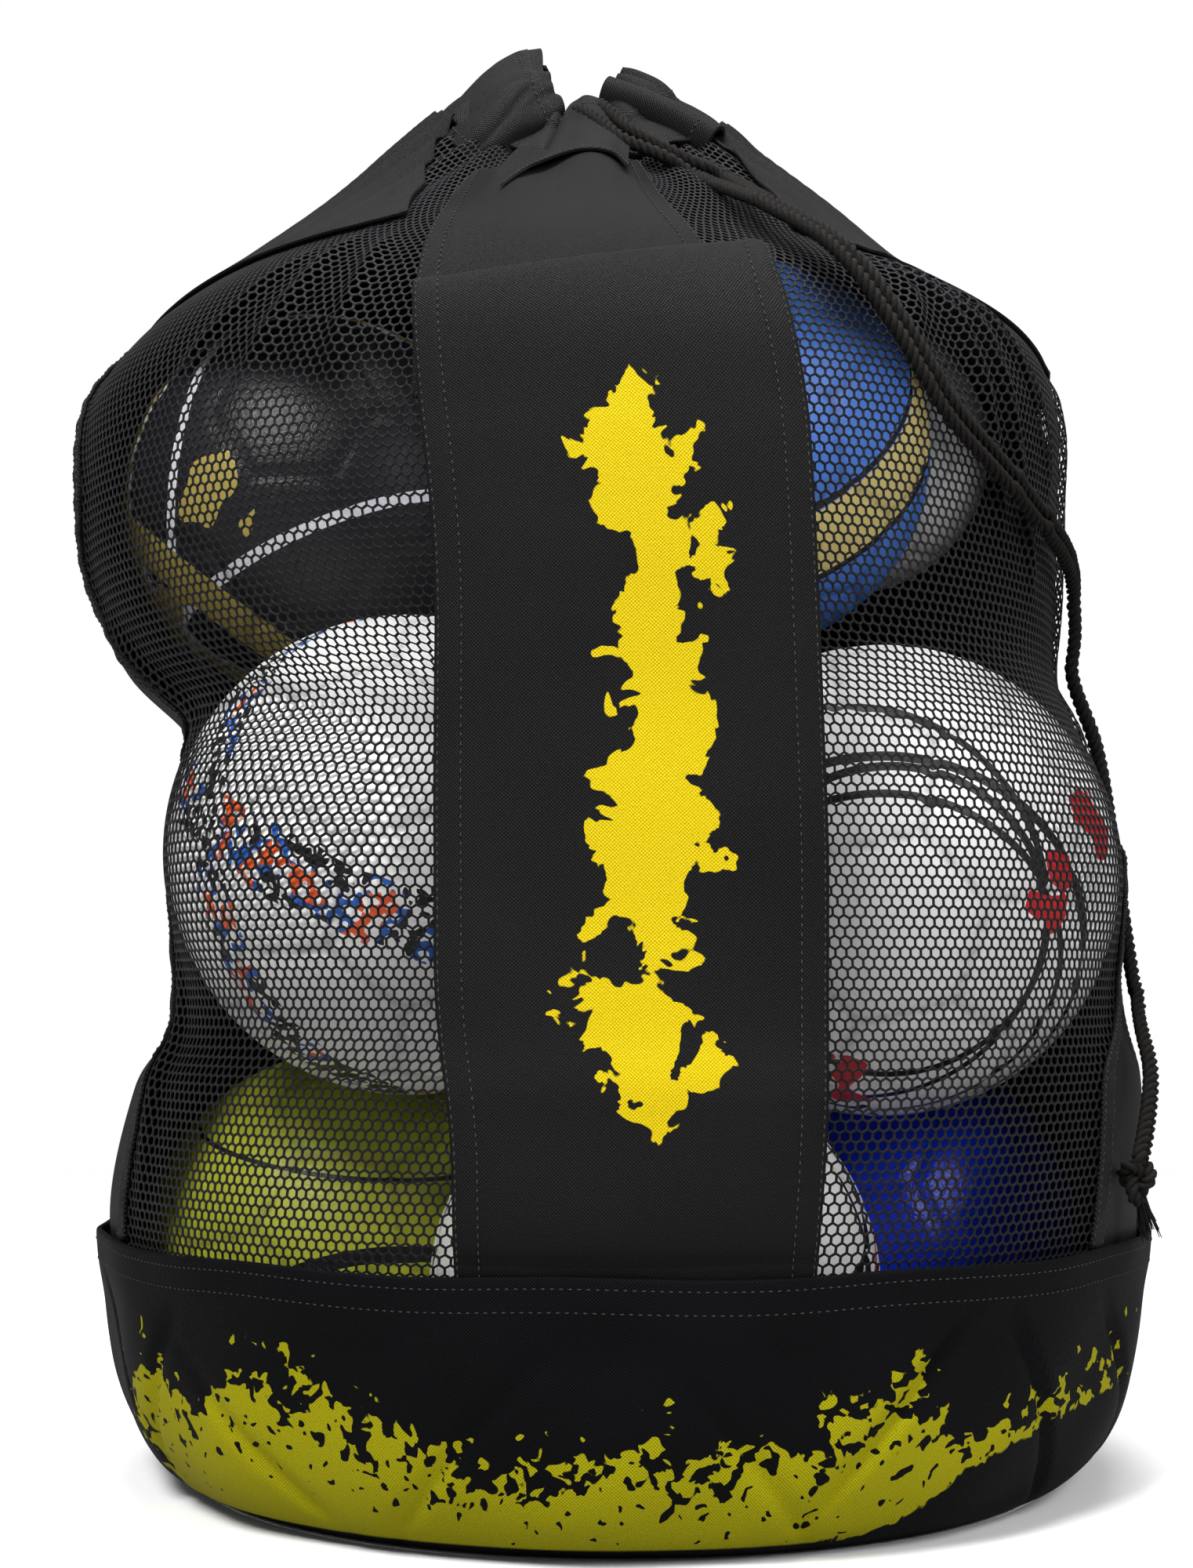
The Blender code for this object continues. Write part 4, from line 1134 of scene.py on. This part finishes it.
def ball_finish(name, base, accent, second, radius, gloss):
    """Coated panels with printed arcs, marks and dots, and darker seams."""
    made, tree, shader = new_finish("ball_" + name, base, gloss, specular=0.35)
    place = add_node(tree, "TexCoord", output="Object")
    ragged = maths(tree, "MULTIPLY", maths(tree, "SUBTRACT", noise(tree, place, 40.0, 1.0), 0.5), 0.10)

    def painted(attribute):
        return add_node(tree, "Attribute", output="Fac", attribute_name=attribute)

    def along(direction):
        return add_node(tree, "VectorMath", {0: place, 1: Vector(direction).normalized() / radius},
                        "Value", operation="DOT_PRODUCT")

    def off_plane(direction, offset):
        return maths(tree, "ABSOLUTE", maths(tree, "SUBTRACT", along(direction), offset))

    colour = mix_colour(tree, painted("panel"), base, accent)
    for direction, offset, half, tint in ARCS.get(name, ()):
        drawn = maths(tree, "LESS_THAN", off_plane(direction, offset), half)
        colour = mix_colour(tree, drawn, colour, tint)
    for direction, size, tint in MARKS.get(name, ()):
        away = maths(tree, "ADD", maths(tree, "SUBTRACT", 1.0, along(direction)), ragged)
        colour = mix_colour(tree, maths(tree, "LESS_THAN", away, size ** 2), colour, tint)
    for direction, offset, half in DOTS.get(name, ()):
        away = maths(tree, "ADD", off_plane(direction, offset), ragged)
        dot = maths(tree, "MULTIPLY", maths(tree, "GREATER_THAN", noise(tree, place, 240.0, 0.0), 0.50),
                    maths(tree, "LESS_THAN", away, half))
        hue = noise(tree, place, 55.0, 0.0)
        tint = mix_colour(tree, maths(tree, "GREATER_THAN", hue, 0.50), INK, second)
        tint = mix_colour(tree, maths(tree, "GREATER_THAN", hue, 0.62), tint, (0.75, 0.10, 0.02))
        colour = mix_colour(tree, dot, colour, tint)
    colour = mix_colour(tree, maths(tree, "MULTIPLY", painted("groove"), 0.45), colour, INK)
    tree.links.new(colour, shader.inputs["Base Color"])
    bump(tree, shader, noise(tree, place, 900.0, 1.0), 0.0003)
    return made


def build_balls():
    """Footballs that fill the bag, each turned its own way, with its seams pressed in."""
    white = (0.86, 0.85, 0.84)
    looks = {
        "top_left": ((0.014, 0.014, 0.016), (0.014, 0.014, 0.016), GOLD),
        "top_middle": ((0.07, 0.20, 0.66), (0.07, 0.20, 0.66), GOLD),
        "top_back": (white, white, INK),
        "middle_left": (white, white, BLUE),
        "middle_right": (white, white, RED),
        "middle_back": ((0.05, 0.05, 0.06), (0.03, 0.03, 0.03), INK),
        "low_left": ((0.46, 0.50, 0.035), (0.50, 0.54, 0.04), INK),
        "low_middle": (white, white, RED),
        "low_right": ((0.010, 0.050, 0.80), (0.010, 0.040, 0.65), INK),
        "low_back": ((0.05, 0.05, 0.06), (0.03, 0.03, 0.03), INK),
    }
    panels = np.concatenate(panel_centres())
    for number, (name, (centre, radius)) in enumerate(BALLS.items()):
        bpy.ops.mesh.primitive_ico_sphere_add(subdivisions=6, radius=1.0)
        ball = bpy.context.active_object
        ball.name = "ball_" + name
        mesh = ball.data
        co = np.zeros(len(mesh.vertices) * 3)
        mesh.vertices.foreach_get("co", co)
        co = unit(co.reshape(-1, 3))
        turn = Matrix.Rotation(math.radians(37 * number), 3, Vector((0.3 + number, 1.0, 0.2 * number)))
        close = co @ (panels @ np.array(turn).T).T
        close[:, :12] = np.cos(np.arccos(np.clip(close[:, :12], -1, 1)) + 0.055)
        order = np.sort(close, 1)
        gap = np.arccos(np.clip(order[:, -2], -1, 1)) - np.arccos(np.clip(order[:, -1], -1, 1))
        groove = np.exp(-(gap / 0.028) ** 2)
        mesh.vertices.foreach_set("co", (co * (radius - 0.0016 * groove)[:, None]).ravel())
        for attribute, values in (("panel", close.argmax(1) < 12), ("groove", groove)):
            layer = mesh.attributes.new(attribute, "FLOAT", "POINT")
            layer.data.foreach_set("value", values.astype(np.float32))
        mesh.shade_smooth()
        base, accent, second = looks[name]
        mesh.materials.append(ball_finish(name, base, accent, second, radius,
                                          0.12 if name == "low_right" else 0.38))
        ball.location = centre


# ---------------------------------------------------------------- studio
def build_floor():
    """A pale floor that fades to white away from the bag."""
    floor_mat, tree, shader = new_finish("studio_floor", (0.90, 0.90, 0.90), 0.9)
    seen = add_node(tree, "LightPath", output="Is Camera Ray")
    tint = mix_colour(tree, seen, (0.42, 0.42, 0.42), (0.90, 0.90, 0.90))
    tree.links.new(tint, shader.inputs["Base Color"])
    far = add_node(tree, "VectorMath", {0: add_node(tree, "TexCoord", output="Object")}, "Value",
                   operation="LENGTH")
    fade = add_node(tree, "MapRange", {"Value": far, "From Min": 0.45, "From Max": 2.2},
                    interpolation_type="SMOOTHSTEP")
    paper = add_node(tree, "Emission", {"Strength": maths(tree, "MULTIPLY_ADD", seen, 0.55, 0.45)})
    blend = add_node(tree, "MixShader", {0: fade, 1: shader.outputs[0], 2: paper})
    tree.links.new(blend, tree.nodes["Material Output"].inputs["Surface"])
    bpy.ops.mesh.primitive_plane_add(size=14.0, location=(0.0, 0.0, -0.0008))
    floor = bpy.context.active_object
    floor.name = "studio_floor"
    floor.data.materials.append(floor_mat)


def build_light():
    """White surroundings and three soft lamps aimed at the bag's middle."""
    world = bpy.data.worlds.new("studio")
    bpy.context.scene.world = world
    world.use_nodes = True
    sky = world.node_tree
    seen = add_node(sky, "LightPath", output="Is Camera Ray")
    sky.nodes["Background"].inputs[0].default_value = (1.0, 1.0, 1.0, 1.0)
    sky.links.new(maths(sky, "MULTIPLY_ADD", seen, 0.72, 0.28), sky.nodes["Background"].inputs[1])
    for name, spot, size, energy in (("key", (-1.0, -1.9, 2.5), 1.0, 125.0),
                                     ("fill", (1.6, -1.8, 1.7), 1.2, 55.0),
                                     ("top", (0.1, -0.2, 2.4), 1.2, 60.0)):
        lamp = bpy.data.lights.new(name, "AREA")
        lamp.size = size
        lamp.energy = energy
        placed = bpy.data.objects.new(name, lamp)
        placed.location = spot
        aim = Vector((0.0, 0.0, 0.33)) - Vector(spot)
        placed.rotation_euler = aim.to_track_quat("-Z", "Y").to_euler()
        bpy.context.scene.collection.objects.link(placed)
    bpy.context.scene.view_settings.view_transform = "Standard"


def place_camera():
    """In front and level, with the lens shifted up so that the whole bag is in view."""
    view = bpy.data.cameras.new("front")
    view.sensor_width = 36.0
    view.lens = 55.7
    view.shift_x = -0.0175
    view.shift_y = 0.1265
    camera = bpy.data.objects.new("front", view)
    camera.location = (0.0, -1.2, 0.236)
    camera.rotation_euler = (math.radians(90), 0.0, 0.0)
    bpy.context.scene.collection.objects.link(camera)
    bpy.context.scene.camera = camera


build_base()
build_band()
build_back()
build_side_bindings()
build_net()
build_collar()
build_left_fold()
build_right_roll()
build_peak()
build_strap()
build_strands()
build_knot()
build_channel_cord()
build_balls()
build_floor()
build_light()
place_camera()
